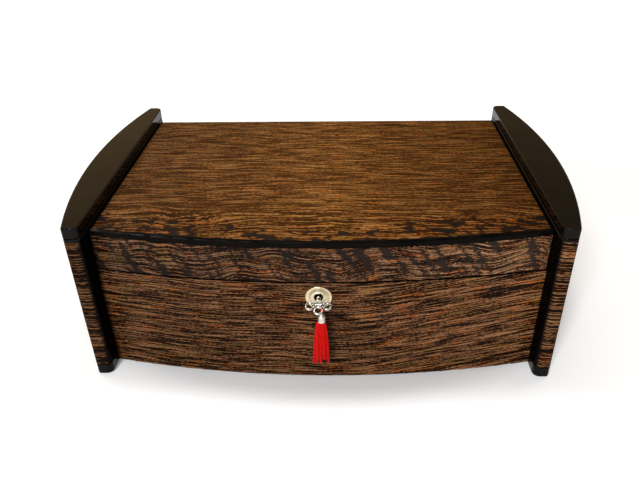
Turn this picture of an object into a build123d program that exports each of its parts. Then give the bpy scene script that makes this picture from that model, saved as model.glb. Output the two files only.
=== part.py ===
"""A desktop cigar humidor with a bowed front, two tall curved side panels and a hinged lid.

All sizes are in millimetres. X runs from left to right, the front faces -Y and Z is up.
The origin is on the table, in the middle of the footprint of the two side panels.
"""
import os
from math import cos, radians, sin, sqrt

from build123d import *

# Side panels: flat towards the box, bowed outwards, standing proud of it at front, back and top
PANEL_LENGTH = 293.0
PANEL_HEIGHT = 163.0
PANEL_NOSE = 14.0           # thickness at the front and back noses
PANEL_BULGE = 34.0          # thickness half way along
PANEL_INNER_ROUND = 6.5
PANEL_OUTER_ROUND = 2.5
CAP_HEIGHT = 10.6
COLLAR_HEIGHT = 2.6
BASE_HEIGHT = 12.7
GROOVE = 0.8                # depth of the V between two pieces of a panel
CAP_ROUND = 1.2
BASE_ROUND = 2.0

# Carcass between the panels
CARCASS_WIDTH = 400.0
CARCASS_DEPTH = 257.0       # from the front corners to the back
FRONT_SETBACK = 20.0        # the front corners stand this far behind the panels' noses
FRONT_BOW = 21.5            # the middle of the front stands this far before its corners
FRONT_WALL = 12.0           # at the corners, where it is thinnest
BACK_WALL = 12.0
SIDE_WALL = 10.0
FLOOR_BOARD = 8.0
RIM_ROUND = 0.8             # rounding of the lacquered edges along the seam
FOOT_ROUND = 1.0

# Felt under the carcass and the panels
FELT = 2.0
FOOT_FELT = 0.8
FELT_INSET = 4.0

# Cedar lining, which rises above the rim as the lid's seal
CEDAR = 5.0
CEDAR_FLOOR = 4.0
SEAL_LIP = 5.5
LIP_BEVEL = 1.2

# Lid
LID_HEIGHT = 41.0
LID_DROP = 12.0             # the lid's top stands this far below the panels' caps
LID_SIDE_GAP = 0.8
LIP_GAP = 0.6               # between the lip and the lid's walls
LID_LINING_GAP = 0.8        # between the top of the lip and the lid's lining
EDGE_HEIGHT = 6.5
EDGE_WIDTH = 2.6
EDGE_ROUND = 1.9
EDGE_LOWER_ROUND = 0.7
CEDAR_CEILING = 4.0

# Hinges, let into the back of the rim
HINGE_SPACING = 240.0
HINGE_LENGTH = 38.0
HINGE_REACH = 9.0           # how far the leaves reach onto the rim
LEAF = 1.4
KNUCKLE_RADIUS = 2.8
KNUCKLE_OFFSET = 3.0        # from the back of the carcass to the pin
KNUCKLES = 5
KNUCKLE_GAP = 0.15
PIN_RADIUS = 1.2
PIN_CLEARANCE = 0.05
PIN_OVERHANG = 0.5
HINGE_SCREW_PITCH = 12.5

# Wood screws: countersunk heads
SCREW_RADIUS = 1.25
SCREW_HEAD_RADIUS = 2.3
SCREW_HEAD = 1.1
SCREW_LENGTH = 10.0
SCREW_CLEARANCE = 0.1
SCREW_SLOT = 0.6
SCREW_SLOT_DEPTH = 0.45
PANEL_SCREW_RADIUS = 2.0
PANEL_SCREW_HEAD_RADIUS = 3.8
PANEL_SCREW_HEAD = 1.8
PANEL_SCREW_LENGTH = 26.0
PANEL_SCREW_SPACING_Y = 150.0
PANEL_SCREW_SPACING_Z = 56.0

# Tray ledges and lower dividers
LEDGE_HEIGHT = 8.0
LEDGE_WIDTH = 6.0
DIVIDER = 4.0
DIVIDER_DROP = 10.0         # from the ledges' top down to the dividers' top
DIVIDER_SPACING = 122.0
DIVIDER_GROOVE = 2.0
DIVIDER_FIT = 0.3

# Lift-out tray
TRAY_HEIGHT = 39.0
TRAY_DROP = 14.5            # from the lip's top down to the tray's top
TRAY_WALL = 5.0
TRAY_FIT = 1.0              # gap all round between the tray and the lining
SLAT = 3.0
SLAT_WIDTH = 24.0
SLAT_GAP = 6.0
TRAY_REBATE = 2.5
NOTCH_LENGTH = 64.0
NOTCH_DEPTH = 15.0
NOTCH_ROUND = 10.0

# Lock, mortised into the front's rim, and the key's axis
KEY_DROP = 14.8             # from the seam down to the key's axis
LOCK_SETBACK = 10.0         # from the middle of the front to the lock's face
CASE_WIDTH = 44.0
CASE_HEIGHT = 26.2
CASE_DEPTH = 9.6
CASE_WALL = 1.2
SELVEDGE_LENGTH = 58.0
SELVEDGE_WIDTH = 12.0
SELVEDGE = 1.8
LOCK_FIT = 0.3
LOCK_SCREW_SPACING = 51.0
BOSS_LENGTH = 3.0
BOSS_RADIUS = 4.4

# Turning hub and sliding bolt
HUB_RADIUS = 3.1
HUB_CLEARANCE = 0.05
HUB_LENGTH = 4.6
HUB_FRONT_RECESS = 0.2
HUB_DISC_RADIUS = 5.3
HUB_DISC = 1.8
CRANK = 4.3                 # from the key's axis to the drive pin
CRANK_PIN_RADIUS = 0.8
CRANK_PIN_LENGTH = 3.2
KEY_TURN = 90.0
BOLT = 2.4
BOLT_OFFSET = 0.4           # from the hub's disc to the bolt
BOLT_BAR_DROP = 8.6         # from the seam to the top of the bolt's bar
BOLT_BAR = 2.3
BOLT_POST = 2.0
TONGUE_DROP = 5.5           # from the seam to the middle of the tongues
TONGUE = 2.2
BOLT_SLOT_CLEARANCE = 0.4
BOLT_SLOT_WALL = 1.3

# Strike with two pierced tabs that drop into the lock
STRIKE = 1.6
TAB_SPACING = 18.0
TAB = 2.0
TAB_WIDTH = 4.8
TAB_REACH = 8.0
TAB_HOLE_WIDTH = 3.4
TAB_HOLE_HEIGHT = 3.3
TAB_CLEARANCE = 0.6
TONGUE_CLEARANCE = 0.5

# Escutcheon
PLATE_RADIUS = 11.6
PLATE = 1.7
PLATE_RIM = 1.5
PLATE_DISH = 0.7
PLATE_RING_RADIUS = 6.3
KEYHOLE_RADIUS = 3.8
SLEEVE_RADIUS = 5.6
SLEEVE_FIT = 0.1
SLEEVE_GAP = 0.4

# Key
SHANK_RADIUS = 1.9
KEY_CLEARANCE = 0.05
KEY_GRIP = 5.2              # length of the shank inside the hub
BIT_REACH = 2.95
BIT_THICKNESS = 1.3
BIT_LENGTH = 3.6
COLLAR_OFFSET = 8.6         # from the middle of the front to the back of the collar
COLLAR_RADIUS = 3.7
COLLAR = 1.5
BOW_NECK = 9.0              # from the middle of the front to where the bow bends down
BOW_DROOP = 18.0            # how far the bow leans down from level, in degrees
BOW_RING_RADIUS = 3.4       # to the middle of the ring's wire
BOW_WIRE_RADIUS = 1.0
BOW_SIDE_OFFSET = 7.5
BOW_SIDE_REACH = 3.5        # along the bow, from its bend to the side rings
BOW_FRONT_REACH = 8.2
BOW_CORE_RADIUS = 3.6
BOW_CORE_REACH = 1.6
BOW_CORE = 2.5

# Tassel on the key's front ring
LOOP_RADIUS = 1.8
LOOP_WIRE_RADIUS = 0.4
TASSEL_CAP_DROP = 3.4       # from the ring down to the cap's top
TASSEL_CAP_HEIGHT = 8.0
TASSEL_CAP_TOP_RADIUS = 1.3
TASSEL_CAP_RADIUS = 3.3
TASSEL_CAP_FLARE = 0.4
TASSEL_CAP_SHOULDER = 3.2   # from the cap's top down to its widest part
STEM_RADIUS = 0.6
SKIRT_LENGTH = 47.0
SKIRT_TOP_RADIUS = 4.2
SKIRT_BOTTOM_RADIUS = 7.2
SKIRT_STRANDS = 11
SKIRT_UNEVEN = 4.5          # how much shorter the shortest strands are
SKIRT_CORE = 0.75           # the core's share of the skirt's radius
STRAND = 0.3                # a bundle's share of the skirt's radius

# Hygrometer and humidifier, held under the lid's ceiling by magnets
HYGROMETER_X = -112.0
HYGROMETER_RADIUS = 25.0
HYGROMETER_DEPTH = 13.0
HYGROMETER_WALL = 1.6
BEZEL_RADIUS = 27.0
BEZEL = 3.0
BEZEL_BEVEL = 0.9
DIAL = 0.6
DIAL_DEPTH = 3.6            # from the bezel's face to the dial
DIAL_FIT = 0.1              # round the dial and the lens
MOVEMENT_RADIUS = 9.0
LENS = 1.0
LENS_DEPTH = 0.8
NEEDLE_LENGTH = 17.0
NEEDLE_TAIL = 5.0
NEEDLE_WIDTH = 1.1
NEEDLE = 0.4
NEEDLE_GAP = 0.5
NEEDLE_HUB_RADIUS = 1.5
NEEDLE_REST = 30.0          # turned from the lid's front edge towards the right
MAGNET = 2.0
MAGNET_RADIUS = 11.0
HUMIDIFIER_X = 52.0
HUMIDIFIER_LENGTH = 150.0
HUMIDIFIER_WIDTH = 50.0
HUMIDIFIER_DEPTH = 13.0
HUMIDIFIER_WALL = 2.0
HUMIDIFIER_ROUND = 5.0
GRILLE_SLOTS = 20
GRILLE_SLOT = 3.0
GRILLE_SLOT_PITCH = 6.6
GRILLE_SLOT_LENGTH = 34.0
FOAM_GAP = 0.3
MAGNET_SPACING = 100.0

# Places worked out from the sizes above
HALF = CARCASS_WIDTH / 2
CORNER_Y = -PANEL_LENGTH / 2 + FRONT_SETBACK
FRONT_Y = CORNER_Y - FRONT_BOW
BACK_Y = CORNER_Y + CARCASS_DEPTH
LID_TOP = PANEL_HEIGHT - LID_DROP
SEAM_Z = LID_TOP - LID_HEIGHT
INNER_X = HALF - SIDE_WALL
INNER_FRONT = CORNER_Y + FRONT_WALL
INNER_BACK = BACK_Y - BACK_WALL
BOARD_TOP = FELT + FLOOR_BOARD
LINED_X = INNER_X - CEDAR
LINED_FRONT = INNER_FRONT + CEDAR
LINED_BACK = INNER_BACK - CEDAR
FLOOR_Z = BOARD_TOP + CEDAR_FLOOR
LIP_Z = SEAM_Z + SEAL_LIP
BOW_RADIUS = (HALF ** 2 + FRONT_BOW ** 2) / (2 * FRONT_BOW)
BOW_CENTRE_Y = FRONT_Y + BOW_RADIUS
GROOVE_Z = PANEL_HEIGHT - CAP_HEIGHT

LID_HALF = HALF - LID_SIDE_GAP
LID_INNER_X = INNER_X + LIP_GAP
LID_INNER_FRONT = INNER_FRONT - LIP_GAP
LID_INNER_BACK = INNER_BACK + LIP_GAP
EDGE_Z = LID_TOP - EDGE_HEIGHT
CEILING_Z = EDGE_Z - CEDAR_CEILING

HINGE_Y = BACK_Y + KNUCKLE_OFFSET
LEAF_Y = BACK_Y - HINGE_REACH
KNUCKLE = HINGE_LENGTH / KNUCKLES

KEY_Z = SEAM_Z - KEY_DROP
CASE_Y = FRONT_Y + LOCK_SETBACK
CASE_MID_Y = CASE_Y + CASE_DEPTH / 2
SELVEDGE_Z = SEAM_Z - SELVEDGE
CASE_Z = SELVEDGE_Z - CASE_HEIGHT
HUB_Y = CASE_Y - BOSS_LENGTH + HUB_FRONT_RECESS
DISC_Y = HUB_Y + HUB_LENGTH
BOLT_Y = DISC_Y + HUB_DISC + BOLT_OFFSET
BOLT_MID_Y = BOLT_Y + BOLT / 2
BOLT_TRAVEL = 2 * CRANK * sin(radians(KEY_TURN / 2))

NECK_Y = FRONT_Y - BOW_NECK
RING_Y = NECK_Y - BOW_FRONT_REACH * cos(radians(BOW_DROOP))
RING_Z = KEY_Z - BOW_FRONT_REACH * sin(radians(BOW_DROOP))
PIVOT_X = BOW_RING_RADIUS
TRAY_Z = LIP_Z - TRAY_DROP - TRAY_HEIGHT
DIVIDER_TOP = TRAY_Z - DIVIDER_DROP
TRAY_HALF = LINED_X - TRAY_FIT
TRAY_FRONT = LINED_FRONT + TRAY_FIT
TRAY_BACK = LINED_BACK - TRAY_FIT
TRAY_INNER_X = TRAY_HALF - TRAY_WALL
TRAY_INNER_FRONT = TRAY_FRONT + TRAY_WALL
TRAY_INNER_BACK = TRAY_BACK - TRAY_WALL
LID_MID_Y = (LINED_FRONT + LINED_BACK) / 2

# How far a cutting solid runs past the face that it opens
PAST = 1.0


def slab(x, y, z):
    """A box from three pairs of limits."""
    size = Box(x[1] - x[0], y[1] - y[0], z[1] - z[0])
    return Pos((x[0] + x[1]) / 2, (y[0] + y[1]) / 2, (z[0] + z[1]) / 2) * size


def rod_x(radius, x, y, z):
    """A cylinder along X, between the two limits x."""
    return Pos((x[0] + x[1]) / 2, y, z) * Rot(0, 90, 0) * Cylinder(radius, x[1] - x[0])


def rod_y(radius, x, y, z):
    """A cylinder along Y, between the two limits y."""
    return Pos(x, (y[0] + y[1]) / 2, z) * Rot(90, 0, 0) * Cylinder(radius, y[1] - y[0])


def rod_z(radius, x, y, z):
    """A cylinder along Z, between the two limits z."""
    return Pos(x, y, (z[0] + z[1]) / 2) * Cylinder(radius, z[1] - z[0])


def prism(outline, z):
    """An outline in plan, raised between the two limits z."""
    return Pos(0, 0, z[0]) * extrude(outline, z[1] - z[0])


def top_edges(solid):
    return solid.faces().sort_by(Axis.Z)[-1].edges()


def bottom_edges(solid):
    return solid.faces().sort_by(Axis.Z)[0].edges()


def both_sides(right):
    """The right-hand solid and its mirror image."""
    return Compound([right, mirror(right, about=Plane.YZ)])


def front_at(x, inset=0.0):
    """Y of the bowed front at a distance x from the middle."""
    return BOW_CENTRE_Y - sqrt((BOW_RADIUS - inset) ** 2 - x ** 2)


def bowed_outline(half, back, inset=0.0):
    """A plan with straight sides and back and the bowed front."""
    corner = front_at(half, inset)
    middle = front_at(0.0, inset)
    bow = ThreePointArc((-half, corner), (0, middle), (half, corner))
    rest = Polyline((half, corner), (half, back), (-half, back), (-half, corner))
    return make_face([bow, rest])


def panel_outline(inset=0.0):
    """The right panel's plan: flat inner side, curved outer side, blunt rounded noses."""
    half = PANEL_LENGTH / 2 - inset
    inner = HALF + inset
    nose = HALF + PANEL_NOSE - inset
    bulge = HALF + PANEL_BULGE - inset
    outer = ThreePointArc((nose, -half), (bulge, 0), (nose, half))
    rest = Polyline((nose, half), (inner, half), (inner, -half), (nose, -half))
    face = make_face([outer, rest])
    corners = face.vertices().sort_by(Axis.X)
    face = fillet(corners[:2], PANEL_INNER_ROUND - inset)
    corners = face.vertices().filter_by(lambda v: abs(v.X - nose) < 0.01 and abs(v.Y) > half - 0.01)
    return fillet(corners, max(PANEL_OUTER_ROUND - inset, 0.4))


def screw_body(radius, head_radius, head, length):
    """A countersunk screw's outline, head up, with its top at the origin."""
    shank = Pos(0, 0, -length / 2) * Cylinder(radius, length)
    cone = Pos(0, 0, -head / 2) * Cone(radius, head_radius, head)
    return shank + cone


def screw():
    """A small slotted wood screw, head up."""
    slot = Pos(0, 0, -SCREW_SLOT_DEPTH / 2 + PAST / 2)
    slot = slot * Box(2 * SCREW_HEAD_RADIUS + PAST, SCREW_SLOT, SCREW_SLOT_DEPTH + PAST)
    return screw_body(SCREW_RADIUS, SCREW_HEAD_RADIUS, SCREW_HEAD, SCREW_LENGTH) - slot


def screw_hole():
    """The room that a small screw takes in a leaf or a wall."""
    grow = SCREW_CLEARANCE
    body = screw_body(SCREW_RADIUS + grow, SCREW_HEAD_RADIUS + grow, SCREW_HEAD, SCREW_LENGTH + grow)
    return body + Pos(0, 0, PAST / 2) * Cylinder(SCREW_HEAD_RADIUS + grow, PAST)


def panel_screw_places():
    """Where the right panel's four screws start, inside the side wall."""
    middle = (SEAM_Z + FELT) / 2
    return [
        Pos(INNER_X, side * PANEL_SCREW_SPACING_Y / 2, middle + up * PANEL_SCREW_SPACING_Z / 2)
        * Rot(0, -90, 0)
        for side in (-1, 1)
        for up in (-1, 1)
    ]


def panel_screw_holes():
    grow = SCREW_CLEARANCE
    hole = screw_body(
        PANEL_SCREW_RADIUS + grow,
        PANEL_SCREW_HEAD_RADIUS + grow,
        PANEL_SCREW_HEAD,
        PANEL_SCREW_LENGTH + grow,
    )
    return [place * hole for place in panel_screw_places()]


def panel_screws():
    solid = screw_body(PANEL_SCREW_RADIUS, PANEL_SCREW_HEAD_RADIUS, PANEL_SCREW_HEAD, PANEL_SCREW_LENGTH)
    right = Compound([place * solid for place in panel_screw_places()])
    return Compound([*right.solids(), *mirror(right, about=Plane.YZ).solids()])


def side_panel():
    """The veneered board of the right panel."""
    board = prism(panel_outline(), (BASE_HEIGHT, GROOVE_Z - COLLAR_HEIGHT))
    board = chamfer(bottom_edges(board), GROOVE)
    for hole in panel_screw_holes():
        board -= hole
    return board


def side_cap():
    """The black cap: a collar, a V groove and the cap proper with a rounded top."""
    collar = prism(panel_outline(), (GROOVE_Z - COLLAR_HEIGHT, GROOVE_Z))
    collar = chamfer(top_edges(collar), GROOVE)
    cap = prism(panel_outline(), (GROOVE_Z, PANEL_HEIGHT))
    cap = fillet(top_edges(cap), CAP_ROUND)
    cap = chamfer(bottom_edges(cap), GROOVE)
    return collar + cap


def side_base():
    """The black foot of the right panel."""
    base = prism(panel_outline(), (FOOT_FELT, BASE_HEIGHT))
    base = fillet(bottom_edges(base), BASE_ROUND)
    return chamfer(top_edges(base), GROOVE)


def felt_base():
    """A felt sheet under the carcass and a strip under each panel."""
    sheet = prism(bowed_outline(HALF - FELT_INSET, BACK_Y - FELT_INSET, FELT_INSET), (0, FELT))
    strip = prism(panel_outline(FELT_INSET), (0, FOOT_FELT))
    return Compound([sheet, strip, mirror(strip, about=Plane.YZ)])


def lock_room():
    """The mortise in the front's rim and the round hole for the key."""
    half = CASE_WIDTH / 2 + LOCK_FIT
    case = slab(
        (-half, half),
        (CASE_Y - LOCK_FIT, CASE_Y + CASE_DEPTH + LOCK_FIT),
        (CASE_Z - LOCK_FIT, SEAM_Z + PAST),
    )
    half = SELVEDGE_LENGTH / 2 + LOCK_FIT
    wide = SELVEDGE_WIDTH / 2 + LOCK_FIT
    selvedge = slab((-half, half), (CASE_MID_Y - wide, CASE_MID_Y + wide), (SELVEDGE_Z, SEAM_Z + PAST))
    hole = rod_y(SLEEVE_RADIUS + SLEEVE_FIT, 0, (FRONT_Y - PAST, CASE_Y + CASE_WALL), KEY_Z)
    return case + selvedge + hole


def lock_screw_places(z):
    return [Pos(side * LOCK_SCREW_SPACING / 2, CASE_MID_Y, z) for side in (-1, 1)]


def front_plank(half, inner, z):
    """A wall between the bowed front and a flat inner face."""
    return prism(bowed_outline(half, inner), z)


def body_front():
    wall = front_plank(HALF, INNER_FRONT, (FELT, SEAM_Z))
    outer = wall.faces().sort_by(Axis.Y)[0]
    edges = outer.edges().sort_by(Axis.Z)
    wall = fillet(edges[-1], RIM_ROUND)
    outer = wall.faces().sort_by(Axis.Y)[0]
    wall = fillet(outer.edges().sort_by(Axis.Z)[0], FOOT_ROUND)
    wall -= lock_room()
    for place in lock_screw_places(SELVEDGE_Z + SELVEDGE):
        wall -= place * screw_hole()
    return wall


def hinge_centres():
    return [-HINGE_SPACING / 2, HINGE_SPACING / 2]


def hinge_screw_places(z, turn):
    """Where the leaves' screws go; turn is 0 for heads up and 180 for heads down."""
    middle = (LEAF_Y + BACK_Y) / 2
    return [
        Pos(centre + step * HINGE_SCREW_PITCH, middle, z) * Rot(turn, 0, 0)
        for centre in hinge_centres()
        for step in (-1, 0, 1)
    ]


def body_back():
    wall = slab((-HALF, HALF), (INNER_BACK, BACK_Y), (FELT, SEAM_Z))
    for centre in hinge_centres():
        half = HINGE_LENGTH / 2
        wall -= slab((centre - half, centre + half), (LEAF_Y, BACK_Y + PAST), (SEAM_Z - LEAF, SEAM_Z + PAST))
    for place in hinge_screw_places(SEAM_Z, 0):
        wall -= place * screw_hole()
    return wall


def body_side():
    wall = slab((INNER_X, HALF), (INNER_FRONT, INNER_BACK), (FELT, SEAM_Z))
    for hole in panel_screw_holes():
        wall -= hole
    return wall


def body_floor():
    return slab((-INNER_X, INNER_X), (INNER_FRONT, INNER_BACK), (FELT, BOARD_TOP))


def divider_centres():
    return [-DIVIDER_SPACING / 2, DIVIDER_SPACING / 2]


def long_lining(outer, inner):
    """The front or back lining board, with a bevelled lip and grooves for the dividers."""
    board = slab((-INNER_X, INNER_X), (min(outer, inner), max(outer, inner)), (BOARD_TOP, LIP_Z))
    side = -1 if outer < inner else 1
    edges = board.edges().filter_by(Axis.X).sort_by(Axis.Z)[-2:].sort_by(Axis.Y)
    board = chamfer(edges[0] if side < 0 else edges[-1], LIP_BEVEL)
    near, deep = inner, inner + side * DIVIDER_GROOVE
    for centre in divider_centres():
        half = DIVIDER / 2 + DIVIDER_FIT
        board -= slab(
            (centre - half, centre + half),
            (min(near - side * PAST, deep), max(near - side * PAST, deep)),
            (BOARD_TOP - PAST, DIVIDER_TOP + DIVIDER_FIT),
        )
    return board


def lining_side():
    board = slab((LINED_X, INNER_X), (LINED_FRONT, LINED_BACK), (BOARD_TOP, LIP_Z))
    edges = board.edges().filter_by(Axis.Y).sort_by(Axis.Z)[-2:].sort_by(Axis.X)
    return chamfer(edges[-1], LIP_BEVEL)


def lining_floor():
    return slab((-LINED_X, LINED_X), (LINED_FRONT, LINED_BACK), (BOARD_TOP, FLOOR_Z))


def tray_ledges():
    z = (TRAY_Z - LEDGE_HEIGHT, TRAY_Z)
    return both_sides(slab((LINED_X - LEDGE_WIDTH, LINED_X), (LINED_FRONT, LINED_BACK), z))


def lower_dividers():
    reach = DIVIDER_GROOVE - DIVIDER_FIT
    boards = [
        slab(
            (centre - DIVIDER / 2, centre + DIVIDER / 2),
            (LINED_FRONT - reach, LINED_BACK + reach),
            (FLOOR_Z, DIVIDER_TOP),
        )
        for centre in divider_centres()
    ]
    return Compound(boards)


def tray_long_side(outer, inner):
    """The tray's front or back, rebated for the slats and slotted for the divider."""
    low, high = min(outer, inner), max(outer, inner)
    board = slab((-TRAY_HALF, TRAY_HALF), (low, high), (TRAY_Z, TRAY_Z + TRAY_HEIGHT))
    into = -1 if outer < inner else 1
    deep = inner + into * TRAY_REBATE
    near = inner - into * PAST
    y = (min(deep, near), max(deep, near))
    board -= slab((-TRAY_INNER_X, TRAY_INNER_X), y, (TRAY_Z - PAST, TRAY_Z + SLAT))
    half = DIVIDER / 2 + DIVIDER_FIT
    deep = inner + into * DIVIDER_GROOVE
    y = (min(deep, near), max(deep, near))
    return board - slab((-half, half), y, (TRAY_Z + SLAT, TRAY_Z + TRAY_HEIGHT + PAST))


def tray_ends():
    """Both ends of the tray, each with a rounded notch for the fingers."""
    top = TRAY_Z + TRAY_HEIGHT
    board = slab((TRAY_INNER_X, TRAY_HALF), (TRAY_INNER_FRONT, TRAY_INNER_BACK), (TRAY_Z, top))
    half = NOTCH_LENGTH / 2
    notch = slab(
        (TRAY_INNER_X - PAST, TRAY_HALF + PAST),
        (LID_MID_Y - half, LID_MID_Y + half),
        (top - NOTCH_DEPTH, top + PAST),
    )
    notch = fillet(notch.edges().filter_by(Axis.X).sort_by(Axis.Z)[:2], NOTCH_ROUND)
    return both_sides(board - notch)


def tray_slats():
    """Thin slats from front to back, spaced evenly between the tray's ends."""
    room = 2 * TRAY_INNER_X
    count = int((room + SLAT_GAP) // (SLAT_WIDTH + SLAT_GAP))
    pitch = (room - SLAT_WIDTH) / (count - 1)
    low = TRAY_INNER_FRONT - TRAY_REBATE
    high = TRAY_INNER_BACK + TRAY_REBATE
    slats = []
    for index in range(count):
        left = -TRAY_INNER_X + index * pitch
        slats.append(slab((left, left + SLAT_WIDTH), (low, high), (TRAY_Z, TRAY_Z + SLAT)))
    return Compound(slats)


def tray_divider():
    reach = DIVIDER_GROOVE - DIVIDER_FIT
    return slab(
        (-DIVIDER / 2, DIVIDER / 2),
        (TRAY_INNER_FRONT - reach, TRAY_INNER_BACK + reach),
        (TRAY_Z + SLAT, TRAY_Z + TRAY_HEIGHT - LIP_BEVEL),
    )


def lid_front():
    """The lid's bowed front, with a mortise for the strike."""
    wall = front_plank(LID_HALF, LID_INNER_FRONT, (SEAM_Z, EDGE_Z))
    outer = wall.faces().sort_by(Axis.Y)[0]
    wall = fillet(outer.edges().sort_by(Axis.Z)[0], RIM_ROUND)
    half = SELVEDGE_LENGTH / 2 + LOCK_FIT
    wide = SELVEDGE_WIDTH / 2 + LOCK_FIT
    wall -= slab((-half, half), (CASE_MID_Y - wide, CASE_MID_Y + wide), (SEAM_Z - PAST, SEAM_Z + STRIKE))
    for place in lock_screw_places(SEAM_Z):
        wall -= place * Rot(180, 0, 0) * screw_hole()
    return wall


def lid_back():
    wall = slab((-LID_HALF, LID_HALF), (LID_INNER_BACK, BACK_Y), (SEAM_Z, EDGE_Z))
    for centre in hinge_centres():
        half = HINGE_LENGTH / 2
        wall -= slab((centre - half, centre + half), (LEAF_Y, BACK_Y + PAST), (SEAM_Z - PAST, SEAM_Z + LEAF))
    for place in hinge_screw_places(SEAM_Z, 180):
        wall -= place * screw_hole()
    return wall


def lid_side():
    return slab((LID_INNER_X, LID_HALF), (LID_INNER_FRONT, LID_INNER_BACK), (SEAM_Z, EDGE_Z))


def lid_top():
    """The veneered board, framed by the black edge."""
    outline = bowed_outline(LID_HALF - EDGE_WIDTH, BACK_Y - EDGE_WIDTH, EDGE_WIDTH)
    return prism(outline, (EDGE_Z, LID_TOP))


def lid_edge():
    """The black moulding round the lid's top, with a rounded upper edge."""
    ring = prism(bowed_outline(LID_HALF, BACK_Y), (EDGE_Z, LID_TOP))
    ring = fillet(top_edges(ring), EDGE_ROUND)
    ring = fillet(bottom_edges(ring), EDGE_LOWER_ROUND)
    return ring - lid_top()


def lid_ceiling():
    return slab((-LID_INNER_X, LID_INNER_X), (LID_INNER_FRONT, LID_INNER_BACK), (CEILING_Z, EDGE_Z))


def lid_lining_long(outer, inner):
    low, high = min(outer, inner), max(outer, inner)
    return slab((-LID_INNER_X, LID_INNER_X), (low, high), (LIP_Z + LID_LINING_GAP, CEILING_Z))


def lid_lining_ends():
    right = slab(
        (LID_INNER_X - CEDAR, LID_INNER_X),
        (LID_INNER_FRONT + CEDAR, LID_INNER_BACK - CEDAR),
        (LIP_Z + LID_LINING_GAP, CEILING_Z),
    )
    return both_sides(right)


def hinge_leaf(centre, up):
    """One leaf with its knuckles: the carcass's below the seam, the lid's above it."""
    z = (SEAM_Z, SEAM_Z + LEAF) if up else (SEAM_Z - LEAF, SEAM_Z)
    left = centre - HINGE_LENGTH / 2
    leaf = slab((left, left + HINGE_LENGTH), (LEAF_Y, BACK_Y), z)
    for index in range(1 if up else 0, KNUCKLES, 2):
        start = left + index * KNUCKLE + KNUCKLE_GAP
        stop = left + (index + 1) * KNUCKLE - KNUCKLE_GAP
        leaf += slab((start, stop), (BACK_Y, HINGE_Y), z)
        leaf += rod_x(KNUCKLE_RADIUS, (start, stop), HINGE_Y, SEAM_Z)
    leaf -= rod_x(PIN_RADIUS + PIN_CLEARANCE, (left - PAST, left + HINGE_LENGTH + PAST), HINGE_Y, SEAM_Z)
    for place in hinge_screw_places(SEAM_Z, 180 if up else 0):
        if abs(place.position.X - centre) < HINGE_LENGTH / 2:
            leaf -= place * screw_hole()
    return leaf


def hinge_leaves(up):
    return Compound([hinge_leaf(centre, up) for centre in hinge_centres()])


def hinge_pins():
    half = HINGE_LENGTH / 2 + PIN_OVERHANG
    return Compound([rod_x(PIN_RADIUS, (c - half, c + half), HINGE_Y, SEAM_Z) for c in hinge_centres()])


def screws_at(places):
    return Compound([place * screw() for place in places])


def tab_centres():
    return [-TAB_SPACING / 2, TAB_SPACING / 2]


def lock_case():
    """The lock's steel box, the brass plate on top and the bearing for the hub."""
    half = CASE_WIDTH / 2
    case = slab((-half, half), (CASE_Y, CASE_Y + CASE_DEPTH), (CASE_Z, SELVEDGE_Z))
    half = SELVEDGE_LENGTH / 2
    wide = SELVEDGE_WIDTH / 2
    case += slab((-half, half), (CASE_MID_Y - wide, CASE_MID_Y + wide), (SELVEDGE_Z, SEAM_Z))
    case += rod_y(BOSS_RADIUS, 0, (CASE_Y - BOSS_LENGTH, CASE_Y), KEY_Z)
    half = CASE_WIDTH / 2 - CASE_WALL
    case -= slab(
        (-half, half),
        (CASE_Y + CASE_WALL, CASE_Y + CASE_DEPTH - CASE_WALL),
        (CASE_Z + CASE_WALL, SELVEDGE_Z),
    )
    case -= rod_y(HUB_RADIUS + HUB_CLEARANCE, 0, (CASE_Y - BOSS_LENGTH - PAST, CASE_Y + 2 * CASE_WALL), KEY_Z)
    for centre in tab_centres():
        half = TAB / 2 + TAB_CLEARANCE
        wide = TAB_WIDTH / 2 + TAB_CLEARANCE
        case -= slab(
            (centre - half, centre + half),
            (BOLT_MID_Y - wide, BOLT_MID_Y + wide),
            (SELVEDGE_Z - PAST, SEAM_Z + PAST),
        )
    for place in lock_screw_places(SEAM_Z):
        case -= place * screw_hole()
    return case


def crank_place():
    """Where the drive pin stands at rest, before the key is turned."""
    angle = radians(KEY_TURN / 2)
    return -CRANK * sin(angle), KEY_Z + CRANK * cos(angle)


def lock_hub():
    """The part that the key turns: a barrel, a disc and the pin that drives the bolt."""
    hub = rod_y(HUB_RADIUS, 0, (HUB_Y, DISC_Y), KEY_Z)
    hub += rod_y(HUB_DISC_RADIUS, 0, (DISC_Y, DISC_Y + HUB_DISC), KEY_Z)
    pin_x, pin_z = crank_place()
    start = DISC_Y + HUB_DISC / 2
    hub += rod_y(CRANK_PIN_RADIUS, pin_x, (start, DISC_Y + HUB_DISC + CRANK_PIN_LENGTH), pin_z)
    grip = HUB_Y + KEY_GRIP + LOCK_FIT
    hub -= rod_y(SHANK_RADIUS + KEY_CLEARANCE, 0, (HUB_Y - PAST, grip), KEY_Z)
    half = BIT_THICKNESS / 2 + KEY_CLEARANCE
    return hub - slab((0, HUB_RADIUS + PAST), (HUB_Y - PAST, DISC_Y - LOCK_FIT), (KEY_Z - half, KEY_Z + half))


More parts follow.
